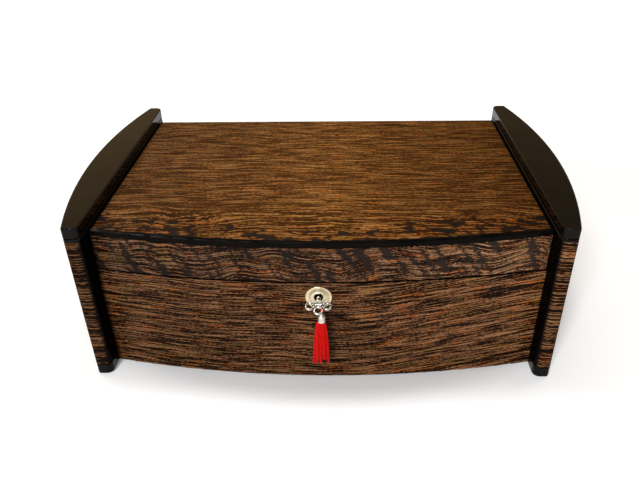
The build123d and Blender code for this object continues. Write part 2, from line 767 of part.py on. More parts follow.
def lock_bolt():
    """A bar with two tongues that slide through the strike's tabs."""
    bar_top = SEAM_Z - BOLT_BAR_DROP
    tongue = (SEAM_Z - TONGUE_DROP - TONGUE / 2, SEAM_Z - TONGUE_DROP + TONGUE / 2)
    y = (BOLT_Y, BOLT_Y + BOLT)
    posts = []
    for centre in tab_centres():
        face = centre - TAB / 2
        post = face - LOCK_FIT - BOLT_TRAVEL
        posts.append(slab((post - BOLT_POST, post), y, (bar_top - BOLT_BAR, tongue[1])))
        posts.append(slab((post - BOLT_POST, face - TONGUE_CLEARANCE), y, tongue))
    right = tab_centres()[1] - TAB / 2 - LOCK_FIT - BOLT_TRAVEL
    left = tab_centres()[0] - TAB / 2 - LOCK_FIT - BOLT_TRAVEL - BOLT_POST
    bar = slab((left, right), y, (bar_top - BOLT_BAR, bar_top))
    pin_x, pin_z = crank_place()
    slot = CRANK_PIN_RADIUS + BOLT_SLOT_CLEARANCE
    cheek = slot + BOLT_SLOT_WALL
    low = pin_z - CRANK_PIN_RADIUS - BOLT_SLOT_CLEARANCE
    bar += slab((pin_x - cheek, pin_x + cheek), y, (low, bar_top))
    for piece in posts:
        bar += piece
    room = slab(
        (pin_x - slot, pin_x + slot),
        (BOLT_Y - PAST, BOLT_Y + BOLT + PAST),
        (low - PAST, KEY_Z + CRANK + CRANK_PIN_RADIUS + BOLT_SLOT_CLEARANCE),
    )
    return bar - room


def strike_plate():
    """The plate in the lid's front, with two pierced tabs."""
    half = SELVEDGE_LENGTH / 2
    wide = SELVEDGE_WIDTH / 2
    plate = slab((-half, half), (CASE_MID_Y - wide, CASE_MID_Y + wide), (SEAM_Z, SEAM_Z + STRIKE))
    hole = TAB_HOLE_HEIGHT / 2
    for centre in tab_centres():
        x = (centre - TAB / 2, centre + TAB / 2)
        y = (BOLT_MID_Y - TAB_WIDTH / 2, BOLT_MID_Y + TAB_WIDTH / 2)
        plate += slab(x, y, (SEAM_Z - TAB_REACH, SEAM_Z))
        x = (centre - TAB / 2 - PAST, centre + TAB / 2 + PAST)
        y = (BOLT_MID_Y - TAB_HOLE_WIDTH / 2, BOLT_MID_Y + TAB_HOLE_WIDTH / 2)
        plate -= slab(x, y, (SEAM_Z - TONGUE_DROP - hole, SEAM_Z - TONGUE_DROP + hole))
    for place in lock_screw_places(SEAM_Z):
        plate -= place * Rot(180, 0, 0) * screw_hole()
    return plate


def escutcheon():
    """A dished round plate with a raised inner ring and a sleeve into the front."""
    rim = PLATE_RADIUS - PLATE_RIM
    ring = (PLATE_RING_RADIUS + KEYHOLE_RADIUS) / 2
    sleeve = LOCK_SETBACK - BOSS_LENGTH - SLEEVE_GAP
    points = [
        (KEYHOLE_RADIUS, -sleeve),
        (SLEEVE_RADIUS, -sleeve),
        (SLEEVE_RADIUS, 0),
        (PLATE_RADIUS, 0),
        (PLATE_RADIUS, PLATE / 2),
        (rim + PLATE_RIM / 2, PLATE),
        (rim, PLATE),
        (rim - PLATE_DISH, PLATE - PLATE_DISH),
        (PLATE_RING_RADIUS, PLATE - PLATE_DISH),
        (PLATE_RING_RADIUS - PLATE_DISH / 2, PLATE - PLATE_DISH / 4),
        (ring, PLATE),
        (KEYHOLE_RADIUS, PLATE - PLATE_DISH / 2),
    ]
    outline = Polyline(*[(radius, 0, height) for radius, height in points], close=True)
    turned = revolve(make_face(outline), Axis.Z)
    return Pos(0, FRONT_Y, KEY_Z) * Rot(90, 0, 0) * turned


def key_bow():
    """A small disc and three rings about it, in one plane that leans down from the key's neck."""
    lean = Pos(0, NECK_Y, KEY_Z) * Rot(BOW_DROOP, 0, 0)
    core = rod_z(BOW_CORE_RADIUS, 0, -BOW_CORE_REACH, (-BOW_CORE / 2, BOW_CORE / 2))
    side = BOW_SIDE_OFFSET
    centres = ((-side, -BOW_SIDE_REACH), (side, -BOW_SIDE_REACH), (0, -BOW_FRONT_REACH))
    rings = [lean * Pos(x, y, 0) * Torus(BOW_RING_RADIUS, BOW_WIRE_RADIUS) for x, y in centres]
    return lean * core, rings


def key():
    """A nickel key: shank, bit, collar and its bow of three rings."""
    tip = HUB_Y + KEY_GRIP
    collar = FRONT_Y - COLLAR_OFFSET
    shank = rod_y(SHANK_RADIUS, 0, (NECK_Y, tip), KEY_Z)
    bit = slab(
        (0, BIT_REACH),
        (HUB_Y + LOCK_FIT, HUB_Y + LOCK_FIT + BIT_LENGTH),
        (KEY_Z - BIT_THICKNESS / 2, KEY_Z + BIT_THICKNESS / 2),
    )
    disc = rod_y(COLLAR_RADIUS, 0, (collar - COLLAR, collar), KEY_Z)
    core, rings = key_bow()
    return shank + bit + fillet(disc.edges(), COLLAR / 3) + core + rings


def tassel_loop():
    """The thread's loop round the right side of the key's front ring, and its stem."""
    loop = Pos(PIVOT_X, RING_Y, RING_Z) * Rot(90, 0, 0) * Torus(LOOP_RADIUS, LOOP_WIRE_RADIUS)
    stem = rod_z(STEM_RADIUS, PIVOT_X, RING_Y, (RING_Z - TASSEL_CAP_DROP, RING_Z - LOOP_RADIUS))
    return loop + stem


def tassel_cap():
    """A small bell of metal over the bound head of the tassel."""
    top = RING_Z - TASSEL_CAP_DROP
    profile = [
        (0, 0, 0),
        (TASSEL_CAP_TOP_RADIUS, 0, 0),
        (TASSEL_CAP_RADIUS - TASSEL_CAP_FLARE, 0, -TASSEL_CAP_SHOULDER),
        (TASSEL_CAP_RADIUS, 0, -TASSEL_CAP_HEIGHT),
        (0, 0, -TASSEL_CAP_HEIGHT),
    ]
    turned = revolve(make_face(Polyline(*profile, close=True)), Axis.Z)
    return Pos(PIVOT_X, RING_Y, top) * turned


def tassel_skirt():
    """Bundles of thread round a core, spreading and ending unevenly."""
    top = RING_Z - TASSEL_CAP_DROP - TASSEL_CAP_HEIGHT
    short = SKIRT_LENGTH - SKIRT_UNEVEN
    lower, upper = SKIRT_BOTTOM_RADIUS * SKIRT_CORE, SKIRT_TOP_RADIUS * SKIRT_CORE
    core = Pos(0, 0, -short / 2) * Cone(lower, upper, short)
    turn = 360 / SKIRT_STRANDS
    lower, upper = SKIRT_BOTTOM_RADIUS * STRAND, SKIRT_TOP_RADIUS * STRAND
    for index in range(SKIRT_STRANDS):
        length = SKIRT_LENGTH - SKIRT_UNEVEN * (1 + sin(index * index)) / 2
        spread = (SKIRT_BOTTOM_RADIUS - lower) * length / SKIRT_LENGTH
        ends = [
            Plane((SKIRT_TOP_RADIUS - upper, 0, 0)) * Circle(upper),
            Plane((spread, 0, -length)) * Circle(lower),
        ]
        core += Rot(0, 0, index * turn) * loft(ends, ruled=True)
    return Pos(PIVOT_X, RING_Y, top) * core


def hygrometer_place():
    """The middle of the hygrometer's bezel, which faces down."""
    return Pos(HYGROMETER_X, LID_MID_Y, CEILING_Z - MAGNET - HYGROMETER_DEPTH)


def hygrometer_case():
    """A round metal cup with a flared bezel and a seat for the lens."""
    inner = HYGROMETER_RADIUS - HYGROMETER_WALL
    sight = inner - HYGROMETER_WALL
    profile = [
        (0, 0, HYGROMETER_DEPTH),
        (HYGROMETER_RADIUS, 0, HYGROMETER_DEPTH),
        (HYGROMETER_RADIUS, 0, BEZEL),
        (BEZEL_RADIUS, 0, BEZEL - BEZEL_BEVEL),
        (BEZEL_RADIUS, 0, BEZEL_BEVEL),
        (BEZEL_RADIUS - HYGROMETER_WALL, 0, 0),
        (inner, 0, 0),
        (sight, 0, LENS_DEPTH),
        (inner, 0, LENS_DEPTH),
        (inner, 0, HYGROMETER_DEPTH - HYGROMETER_WALL),
        (0, 0, HYGROMETER_DEPTH - HYGROMETER_WALL),
    ]
    turned = revolve(make_face(Polyline(*profile, close=True)), Axis.Z)
    return hygrometer_place() * turned


def hygrometer_dial():
    """The dial plate on its movement, with the spindle that carries the needle."""
    radius = HYGROMETER_RADIUS - HYGROMETER_WALL - DIAL_FIT
    plate = rod_z(radius, 0, 0, (DIAL_DEPTH, DIAL_DEPTH + DIAL))
    movement = rod_z(MOVEMENT_RADIUS, 0, 0, (DIAL_DEPTH, HYGROMETER_DEPTH - HYGROMETER_WALL))
    spindle = rod_z(PIN_RADIUS / 2, 0, 0, (DIAL_DEPTH - NEEDLE - 2 * NEEDLE_GAP, DIAL_DEPTH))
    return hygrometer_place() * (plate + movement + spindle)


def hygrometer_needle():
    """A tapered pointer with a tail, turning on the spindle."""
    z = (DIAL_DEPTH - NEEDLE_GAP - NEEDLE, DIAL_DEPTH - NEEDLE_GAP)
    blade = make_face(
        Polyline(
            (-NEEDLE_WIDTH, NEEDLE_TAIL),
            (NEEDLE_WIDTH, NEEDLE_TAIL),
            (NEEDLE_WIDTH / 4, -NEEDLE_LENGTH),
            (-NEEDLE_WIDTH / 4, -NEEDLE_LENGTH),
            close=True,
        )
    )
    needle = prism(blade, z) + rod_z(NEEDLE_HUB_RADIUS, 0, 0, z)
    needle -= rod_z(PIN_RADIUS / 2 + PIN_CLEARANCE, 0, 0, (z[0] - PAST, z[1] + PAST))
    return hygrometer_place() * Rot(0, 0, NEEDLE_REST) * needle


def hygrometer_lens():
    radius = HYGROMETER_RADIUS - HYGROMETER_WALL - DIAL_FIT
    return hygrometer_place() * rod_z(radius, 0, 0, (LENS_DEPTH, LENS_DEPTH + LENS))


def humidifier_place():
    return Pos(HUMIDIFIER_X, LID_MID_Y, CEILING_Z - MAGNET - HUMIDIFIER_DEPTH)


def humidifier_outline(inset):
    """The rounded outline in plan, drawn in by an inset."""
    length = HUMIDIFIER_LENGTH - 2 * inset
    width = HUMIDIFIER_WIDTH - 2 * inset
    return RectangleRounded(length, width, HUMIDIFIER_ROUND - inset)


def humidifier_case():
    """A shallow plastic box, open downwards."""
    wall = HUMIDIFIER_WALL
    box = prism(humidifier_outline(0), (0, HUMIDIFIER_DEPTH))
    box -= prism(humidifier_outline(wall), (-PAST, HUMIDIFIER_DEPTH - wall))
    return humidifier_place() * box


def humidifier_grille():
    """The slotted plate that closes the humidifier."""
    wall = HUMIDIFIER_WALL
    plate = prism(humidifier_outline(wall), (0, wall))
    slot = Box(GRILLE_SLOT, GRILLE_SLOT_LENGTH, 2 * wall + PAST)
    for index in range(GRILLE_SLOTS):
        place = (index - (GRILLE_SLOTS - 1) / 2) * GRILLE_SLOT_PITCH
        plate -= Pos(place, 0, wall / 2) * slot
    return humidifier_place() * plate


def humidifier_foam():
    wall = HUMIDIFIER_WALL
    foam = prism(humidifier_outline(wall + FOAM_GAP), (wall, HUMIDIFIER_DEPTH - wall))
    return humidifier_place() * foam


def lid_magnets():
    """One magnet over the hygrometer and two over the humidifier."""
    z = (CEILING_Z - MAGNET, CEILING_Z)
    places = [HYGROMETER_X]
    for side in (-1, 1):
        places.append(HUMIDIFIER_X + side * MAGNET_SPACING / 2)
    return Compound([rod_z(MAGNET_RADIUS, x, LID_MID_Y, z) for x in places])


def pieces():
    """Every sub-part under its node's name."""
    sides = {"side_panel": side_panel(), "side_cap": side_cap(), "side_base": side_base()}
    sides["body_side"] = body_side()
    sides["lining"] = lining_side()
    sides["lid_side"] = lid_side()
    made = {}
    for name, right in sides.items():
        made[name + "_right"] = right
        made[name + "_left"] = mirror(right, about=Plane.YZ)
    made.update(
        felt_base=felt_base(),
        panel_screws=panel_screws(),
        body_front=body_front(),
        body_back=body_back(),
        body_floor=body_floor(),
        lining_front=long_lining(INNER_FRONT, LINED_FRONT),
        lining_back=long_lining(INNER_BACK, LINED_BACK),
        lining_floor=lining_floor(),
        tray_ledges=tray_ledges(),
        lower_dividers=lower_dividers(),
        tray_front=tray_long_side(TRAY_FRONT, TRAY_INNER_FRONT),
        tray_back=tray_long_side(TRAY_BACK, TRAY_INNER_BACK),
        tray_ends=tray_ends(),
        tray_slats=tray_slats(),
        tray_divider=tray_divider(),
        lid_top=lid_top(),
        lid_edge=lid_edge(),
        lid_front=lid_front(),
        lid_back=lid_back(),
        lid_ceiling=lid_ceiling(),
        lid_lining_front=lid_lining_long(LID_INNER_FRONT, LID_INNER_FRONT + CEDAR),
        lid_lining_back=lid_lining_long(LID_INNER_BACK, LID_INNER_BACK - CEDAR),
        lid_lining_ends=lid_lining_ends(),
        hinge_leaves_body=hinge_leaves(False),
        hinge_leaves_lid=hinge_leaves(True),
        hinge_pins=hinge_pins(),
        hinge_screws_body=screws_at(hinge_screw_places(SEAM_Z, 0)),
        hinge_screws_lid=screws_at(hinge_screw_places(SEAM_Z, 180)),
        lock_case=lock_case(),
        lock_hub=lock_hub(),
        lock_bolt=lock_bolt(),
        lock_screws=screws_at(lock_screw_places(SEAM_Z)),
        strike_plate=strike_plate(),
        strike_screws=screws_at([place * Rot(180, 0, 0) for place in lock_screw_places(SEAM_Z)]),
        escutcheon=escutcheon(),
        key=key(),
        tassel_loop=tassel_loop(),
        tassel_cap=tassel_cap(),
        tassel_skirt=tassel_skirt(),
        hygrometer_case=hygrometer_case(),
        hygrometer_dial=hygrometer_dial(),
        hygrometer_needle=hygrometer_needle(),
        hygrometer_lens=hygrometer_lens(),
        humidifier_case=humidifier_case(),
        humidifier_grille=humidifier_grille(),
        humidifier_foam=humidifier_foam(),
        lid_magnets=lid_magnets(),
    )
    return made


os.makedirs("parts", exist_ok=True)
for node, shape in pieces().items():
    export_step(shape, os.path.join("parts", node + ".step"))
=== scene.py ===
import math
import random

import bmesh
import bpy
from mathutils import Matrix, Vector, noise


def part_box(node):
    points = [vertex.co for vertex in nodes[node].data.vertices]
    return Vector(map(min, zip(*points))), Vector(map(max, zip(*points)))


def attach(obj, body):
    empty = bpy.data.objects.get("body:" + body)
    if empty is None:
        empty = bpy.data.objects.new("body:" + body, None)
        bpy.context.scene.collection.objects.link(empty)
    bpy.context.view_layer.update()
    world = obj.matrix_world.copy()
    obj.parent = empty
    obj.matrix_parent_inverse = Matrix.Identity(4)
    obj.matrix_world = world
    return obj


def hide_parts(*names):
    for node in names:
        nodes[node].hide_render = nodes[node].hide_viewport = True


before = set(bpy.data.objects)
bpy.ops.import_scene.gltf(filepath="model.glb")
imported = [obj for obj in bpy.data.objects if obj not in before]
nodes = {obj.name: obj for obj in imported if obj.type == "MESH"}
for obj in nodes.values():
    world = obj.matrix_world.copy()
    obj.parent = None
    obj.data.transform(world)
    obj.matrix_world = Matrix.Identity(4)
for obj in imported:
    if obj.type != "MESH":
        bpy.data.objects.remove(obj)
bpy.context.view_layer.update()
random.seed(7)

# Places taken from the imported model. Lengths are in metres, unless a comment says otherwise
SEAM_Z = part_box("body_front")[1].z
FRONT_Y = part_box("body_front")[0].y
PLATE_LOW, PLATE_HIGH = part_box("escutcheon")
KEY_Z = (PLATE_LOW.z + PLATE_HIGH.z) / 2
KEY_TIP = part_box("key")[1].y
CAP_LOW, CAP_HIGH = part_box("tassel_cap")
SKIRT_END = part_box("tassel_skirt")[0].z
LOOP_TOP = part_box("tassel_loop")[1].z
DIAL_CASE_LOW, DIAL_CASE_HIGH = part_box("hygrometer_case")

# The radius of the bowed front, seen from above, and of the bore in the keyhole plate
FRONT_RADIUS = 0.941
KEYHOLE_RADIUS = 0.0039


# Shader building

def start(name):
    """A new material with an empty node tree and a Principled shader on its output."""
    mat = bpy.data.materials.new(name)
    mat.use_nodes = True
    tree = mat.node_tree
    tree.nodes.clear()
    shader = tree.nodes.new("ShaderNodeBsdfPrincipled")
    out = tree.nodes.new("ShaderNodeOutputMaterial")
    tree.links.new(shader.outputs[0], out.inputs[0])
    return mat, tree, shader


def feed(tree, socket, value):
    """Links an output to a socket, or sets the socket's own value."""
    if isinstance(value, bpy.types.NodeSocket):
        tree.links.new(value, socket)
    elif hasattr(value, "__len__") and len(value) == 3 and len(socket.default_value) == 4:
        socket.default_value = (*value, 1)
    else:
        socket.default_value = value


def finish(tree, shader, **values):
    """Feeds the shader's sockets, named with an underscore for each space."""
    for name, value in values.items():
        feed(tree, shader.inputs[name.replace("_", " ")], value)


def put(tree, kind, inputs, output=0, **settings):
    """Adds a node, fills its inputs by name or number, and returns one output."""
    made = tree.nodes.new(kind)
    for name, value in settings.items():
        setattr(made, name, value)
    for key, value in inputs.items():
        feed(tree, made.inputs[key], value)
    return made.outputs[output]


def place(tree):
    """The point's place in its piece, which moves with the piece's body."""
    return put(tree, "ShaderNodeTexCoord", {}, output=3)


def sums(tree, operation, *values):
    return put(tree, "ShaderNodeMath", dict(enumerate(values)), operation=operation)


def scaled(tree, vector, x, y, z):
    return put(tree, "ShaderNodeVectorMath", {0: vector, 1: (x, y, z)}, operation="MULTIPLY")


def shifted(tree, vector, offset):
    return put(tree, "ShaderNodeVectorMath", {0: vector, 1: offset}, operation="ADD")


def size_of(tree, vector):
    return put(tree, "ShaderNodeVectorMath", {0: vector}, output=1, operation="LENGTH")


def axis(tree, vector, which):
    return put(tree, "ShaderNodeSeparateXYZ", {0: vector}, output="XYZ".index(which))


def along(tree, which, value):
    """A vector that lies along one axis."""
    return put(tree, "ShaderNodeCombineXYZ", {which: value})


def drawn_out(tree, vector, across, fine, coarse):
    """Scales a vector by fine along one axis and by coarse along the other two."""
    scales = dict.fromkeys("XYZ", coarse)
    scales[across] = fine
    return scaled(tree, vector, *scales.values())


def grain_noise(tree, vector, scale=1.0, detail=2.0, rough=0.5):
    settings = {"Vector": vector, "Scale": scale, "Detail": detail, "Roughness": rough}
    return put(tree, "ShaderNodeTexNoise", settings)


def ramp(tree, value, *stops):
    """A colour ramp with stops of (place, colour)."""
    made = tree.nodes.new("ShaderNodeValToRGB")
    band = made.color_ramp
    while len(band.elements) < len(stops):
        band.elements.new(1.0)
    for element, (position, colour) in zip(band.elements, stops):
        element.position = position
        colour = colour if hasattr(colour, "__len__") else (colour, colour, colour)
        element.color = (*colour, 1)
    tree.links.new(value, made.inputs[0])
    return made.outputs[0]


def spread(tree, value, low, high, out_low=0.0, out_high=1.0, smooth=True):
    """Maps a value from one range to another, held at both ends."""
    inputs = {0: value, 1: low, 2: high, 3: out_low, 4: out_high}
    kind = "SMOOTHSTEP" if smooth else "LINEAR"
    return put(tree, "ShaderNodeMapRange", inputs, interpolation_type=kind)


def mix(tree, share, first, second, blend="MIX"):
    made = tree.nodes.new("ShaderNodeMix")
    made.data_type = "RGBA"
    made.blend_type = blend
    feed(tree, made.inputs[0], share)
    feed(tree, made.inputs[6], first)
    feed(tree, made.inputs[7], second)
    return made.outputs[2]


def bump(tree, shader, height, strength, distance):
    settings = {"Height": height, "Strength": strength, "Distance": distance}
    finish(tree, shader, Normal=put(tree, "ShaderNodeBump", settings))


# Veneer

# The streaks, added up at four sizes: thickness and length as shares of a plain streak's, and weight
STREAK_SIZES = ((1.0, 1.8, 1.0), (0.9, 0.16, 0.5), (2.3, 2.4, 0.3), (6.0, 5.0, 0.14))
STREAK_STOPS = (0.38, 0.46, 0.51, 0.57, 0.68)

# How far broad waves and fine jitter push the streaks, and where the streaks have risen in full
BROAD_PUSH = 0.014
FINE_PUSH = 0.0016
LEAN_END = 0.2

# Stretches of orange and of darker brown: thickness, length, seed, where the noise sets in, weight and tint
HUES = (
    (0.005, 0.018, 3.7, 0.54, 0.9, (1.30, 0.80, 0.42)),
    (0.008, 0.030, 7.9, 0.52, 0.8, (0.80, 0.92, 0.60)),
)
HUE_FULL = 0.66

# The lid's front edge: where the wild figure starts to grow calm and is calm, and the share of its bend left
CALM_START = -0.156
CALM_FULL = -0.122
EDGE_WANDER = 0.05
CALM_BEND = 0.35

# Shares at that edge and behind it: of the middle brown, and of a darker shade. Patches are fewer behind it
BROWN_SHARES = (0.2, 0.45)
SHADE_SHARES = (0.4, 0.0)
EDGE_SHADE = (0.5, 0.45, 0.42)
CALM_PATCHES = -0.25

# Dark ragged patches: the teeth that pull their edges, how far below the noise's limit their border starts
# and above it their middle is full, and the shares and colours of both
TOOTH_LENGTH = 0.02
TOOTH_PULL = 0.013
BORDER_START = 0.06
MIDDLE_FULL = 0.02
BORDER_SHARE = 0.6
MIDDLE_SHARE = 0.95
PATCH_BORDER = (1.3, 0.85, 0.42)
# the patches' middles are dark figure with a painted reflection: their near-neutral grey stands for the room
# reflected in the lacquer
PATCH_MIDDLE_WITH_REFLECTION = (0.014, 0.0115, 0.010)

# Black lines, each full up to the first distance and gone by the second: from the seam, and for the panels'
# inner faces from the middle of the box. The seam's line is painted shade of the gap between lid and body.
# The panels' line is their inner faces' black lacquer, and painted shade where it reaches onto the veneered
# rounding
LINE = (0.002, 0.0017, 0.0015)
SEAM_SHADE_LINE = (0.0006, 0.0012)
INNER_FACE = (0.2012, 0.2042)

# How far left and right of the middle the painted light and shade on the veneer change
PAINTED_LIGHT_REACH = 0.2


def streaks(tree, point, across, thin, long, detail=1.0, seed=0.0):
    """Noise drawn out along the grain: thin across it and long along it."""
    drawn = drawn_out(tree, point, across, 1 / thin, 1 / long)
    return grain_noise(tree, shifted(tree, drawn, (seed, seed, seed)), detail=detail, rough=0.6)


def flow(tree, where, across, bend, bend_size, lean):
    """Moves the point across the grain, so that the streaks wave and rise to the right."""
    slow = streaks(tree, where, across, bend_size * 1.7, bend_size, detail=0.6)
    broad = grain_noise(tree, where, scale=4.0, detail=1.0)
    jitter = grain_noise(tree, where, scale=90.0, detail=3.0, rough=0.7)
    push = sums(tree, "MULTIPLY_ADD", broad, BROAD_PUSH, sums(tree, "MULTIPLY", jitter, FINE_PUSH))
    rise = spread(tree, axis(tree, where, "X"), 0.0, LEAN_END, 0.0, lean)
    push = sums(tree, "SUBTRACT", push, rise)
    push = sums(tree, "MULTIPLY_ADD", slow, bend, push)
    return shifted(tree, where, along(tree, across, push))


def figure(tree, point, across, thin, length):
    """The streaks at all their sizes, added up about a half."""
    level = 0.5
    for number, (thickness, stretch, weight) in enumerate(STREAK_SIZES):
        seed = 2.6 * number
        layer = streaks(tree, point, across, thin * thickness, length * stretch, detail=0.0, seed=seed)
        level = sums(tree, "MULTIPLY_ADD", sums(tree, "SUBTRACT", layer, 0.5), weight, level)
    return level


def hues(tree, wood, point, across):
    """Tints some stretches of the wood."""
    for thin, long, seed, low, weight, tint in HUES:
        hue = streaks(tree, point, across, thin, long, detail=2.0, seed=seed)
        wood = mix(tree, spread(tree, hue, low, HUE_FULL, 0.0, weight), wood, tint, "MULTIPLY")
    return wood


def calm_back(tree, where):
    """0 along the lid's bowed front edge, where the figure is wild, and 1 behind it."""
    east = axis(tree, where, "X")
    squared = sums(tree, "MULTIPLY", east, east)
    behind = sums(tree, "MULTIPLY_ADD", squared, -1 / (2 * FRONT_RADIUS), axis(tree, where, "Y"))
    wander = sums(tree, "MULTIPLY", grain_noise(tree, where, scale=14.0, detail=2.0), EDGE_WANDER)
    return spread(tree, sums(tree, "SUBTRACT", behind, wander), CALM_START, CALM_FULL)


def between(tree, calm, at_edge, behind):
    """A number that has one value at the lid's front edge and another where the figure is calm."""
    return spread(tree, calm, 0.0, 1.0, at_edge, behind, smooth=False)


def patches(tree, where, across, thin, width, height, slant):
    """Noise in upright patches, whose ragged edges thin streaks pull to and fro along the grain."""
    teeth = streaks(tree, where, across, thin, TOOTH_LENGTH, seed=6.4)
    climb = sums(tree, "MULTIPLY", axis(tree, where, across), slant)
    pull = sums(tree, "MULTIPLY_ADD", sums(tree, "SUBTRACT", teeth, 0.5), TOOTH_PULL, climb)
    return streaks(tree, shifted(tree, where, along(tree, "X", pull)), across, height, width, seed=2.2)


def patched(tree, wood, spot, limit):
    """Near-black patches with a warm border, where the noise passes its limit."""
    border = spread(tree, spot, limit - BORDER_START, limit, 0.0, BORDER_SHARE)
    wood = mix(tree, border, wood, PATCH_BORDER, "MULTIPLY")
    middle = spread(tree, spot, limit, limit + MIDDLE_FULL, 0.0, MIDDLE_SHARE)
    return mix(tree, middle, wood, PATCH_MIDDLE_WITH_REFLECTION)


def lined(tree, wood, distance, near, far):
    """A black line where a distance is under near, which fades out by far."""
    return mix(tree, spread(tree, distance, near, far, 1.0, 0.0), wood, LINE)


def veneer(name, across, colours, thin, length, bend, bend_size, lean=0.0, painted_light_gains=(1, 1, 1), gloss=0.07,
           patchy=None, front_edge=False, inner_black=False):
    """Striped veneer under gloss lacquer. The grain runs level, and the streaks stack along the axis across.

    colours run from the darkest streaks to the palest, and gains are painted light and shade: how much
    lighter or darker the veneer is painted at the left, middle and right, with a painted grey sheen at the
    lid's left. thin and length are a plain streak's thickness and length, bend and bend_size how far and
    how broadly the streaks wave, and lean how far they rise. patchy is the dark patches' width, height,
    slant and limit.
    """
    mat, tree, shader = start(name)
    where = place(tree)
    if front_edge:
        calm = calm_back(tree, where)
        bend = between(tree, calm, bend, bend * CALM_BEND)
    point = flow(tree, where, across, bend, bend_size, lean)
    wood = ramp(tree, figure(tree, point, across, thin, length), *zip(STREAK_STOPS, colours))
    wood = hues(tree, wood, point, across)
    if front_edge:
        wood = mix(tree, between(tree, calm, *BROWN_SHARES), wood, colours[2])
        wood = mix(tree, between(tree, calm, *SHADE_SHARES), wood, EDGE_SHADE, "MULTIPLY")
    if patchy:
        width, height, slant, limit = patchy
        spot = patches(tree, where, across, thin, width, height, slant)
        if front_edge:
            spot = sums(tree, "MULTIPLY_ADD", calm, CALM_PATCHES, spot)
        wood = patched(tree, wood, spot, limit)
    # painted light and shade: the veneer is painted lighter or darker from left to right by the gains
    side = spread(tree, axis(tree, where, "X"), -PAINTED_LIGHT_REACH, PAINTED_LIGHT_REACH, smooth=False)
    wood = mix(tree, 1.0, wood, ramp(tree, side, *zip((0.0, 0.5, 1.0), painted_light_gains)), "MULTIPLY")
    # painted shade: a black line along the seam stands for the shade in the gap between lid and body
    if across == "Z":
        off_seam = sums(tree, "ABSOLUTE", sums(tree, "SUBTRACT", axis(tree, where, "Z"), SEAM_Z))
        wood = lined(tree, wood, off_seam, *SEAM_SHADE_LINE)
    # partly painted shade: black on the panels' inner faces, fading over the inner part of their veneered
    # rounding in the shaded recess beside the box's front
    if inner_black:
        wood = lined(tree, wood, sums(tree, "ABSOLUTE", axis(tree, where, "X")), *INNER_FACE)
    finish(tree, shader, Base_Color=wood, Roughness=0.5, Specular_IOR_Level=0.0)
    finish(tree, shader, Coat_Weight=gloss, Coat_Roughness=0.035, Coat_IOR=1.5)
    return mat


# Other materials

def lacquer(name, shine, rough):
    """Black piano lacquer with faint clouds and waves."""
    mat, tree, shader = start(name)
    where = place(tree)
    cloud = grain_noise(tree, where, scale=35.0, detail=3.0)
    black = ramp(tree, cloud, (0.35, (0.0022, 0.0018, 0.0016)), (0.7, (0.005, 0.0038, 0.003)))
    haze = spread(tree, cloud, 0.3, 0.7, rough, rough * 2)
    waves = grain_noise(tree, where, scale=60.0, detail=1.0)
    finish(tree, shader, Base_Color=black, Roughness=haze, IOR=1.5, Specular_IOR_Level=shine)
    bump(tree, shader, waves, strength=0.06, distance=0.001)
    return mat


def cedar(name, across):
    """Bare cedar: soft straight grain with pale and red bands, and open pores."""
    mat, tree, shader = start(name)
    where = place(tree)
    slow = grain_noise(tree, where, scale=9.0, detail=1.0)
    bent = shifted(tree, where, along(tree, across, sums(tree, "MULTIPLY", slow, 0.02)))
    rings = grain_noise(tree, drawn_out(tree, bent, across, 160.0, 5.0), detail=3.0, rough=0.6)
    pores = grain_noise(tree, drawn_out(tree, bent, across, 1700.0, 70.0), detail=1.0)
    bands = ((0.3, (0.30, 0.115, 0.045)), (0.5, (0.43, 0.19, 0.08)), (0.72, (0.55, 0.28, 0.13)))
    wood = mix(tree, spread(tree, pores, 0.6, 0.72), ramp(tree, rings, *bands), (0.19, 0.07, 0.028))
    finish(tree, shader, Base_Color=wood, Roughness=spread(tree, pores, 0.3, 0.7, 0.55, 0.75))
    bump(tree, shader, pores, strength=0.35, distance=0.0002)
    return mat


def metal(name, colour, stain, rough, bore=0.0):
    """Plated metal with fine polishing lines and slight tarnish.

    A plate with a bore is turned, and its bore is painted near-black as painted shade in the hole.
    """
    mat, tree, shader = start(name)
    where = place(tree)
    spots = grain_noise(tree, where, scale=260.0, detail=3.0)
    tint = mix(tree, spread(tree, spots, 0.5, 0.75), colour, stain)
    if bore:
        off_axis = scaled(tree, shifted(tree, where, (0.0, 0.0, -KEY_Z)), 1.0, 0.0, 1.0)
        radius = size_of(tree, off_axis)
        marks = grain_noise(tree, along(tree, "X", radius), scale=2600.0, detail=2.0)
        # painted shade: the bore's walls are painted near-black, as if unlit
        bore_shade = spread(tree, radius, bore, bore + 0.0003, 1.0, 0.0)
        tint = mix(tree, bore_shade, tint, (0.012, 0.009, 0.007))
    else:
        marks = grain_noise(tree, scaled(tree, where, 900.0, 900.0, 40.0), detail=2.0)
    polish = spread(tree, marks, 0.3, 0.7, rough, rough + 0.12)
    finish(tree, shader, Base_Color=tint, Roughness=polish, Metallic=1.0)
    bump(tree, shader, marks, strength=0.04, distance=0.0001)
    return mat


def cloth(name, dark, light, scale, rough, fuzz):
    """Felt, thread or foam: mottled colour, soft bump and sheen."""
    mat, tree, shader = start(name)
    fibres = grain_noise(tree, scaled(tree, place(tree), *scale), detail=3.0, rough=0.6)
    colour = ramp(tree, fibres, (0.3, dark), (0.7, light))
    finish(tree, shader, Base_Color=colour, Roughness=rough, Specular_IOR_Level=0.08)
    finish(tree, shader, Sheen_Weight=fuzz, Sheen_Roughness=0.5)
    bump(tree, shader, fibres, strength=0.5, distance=0.0004)
    return mat


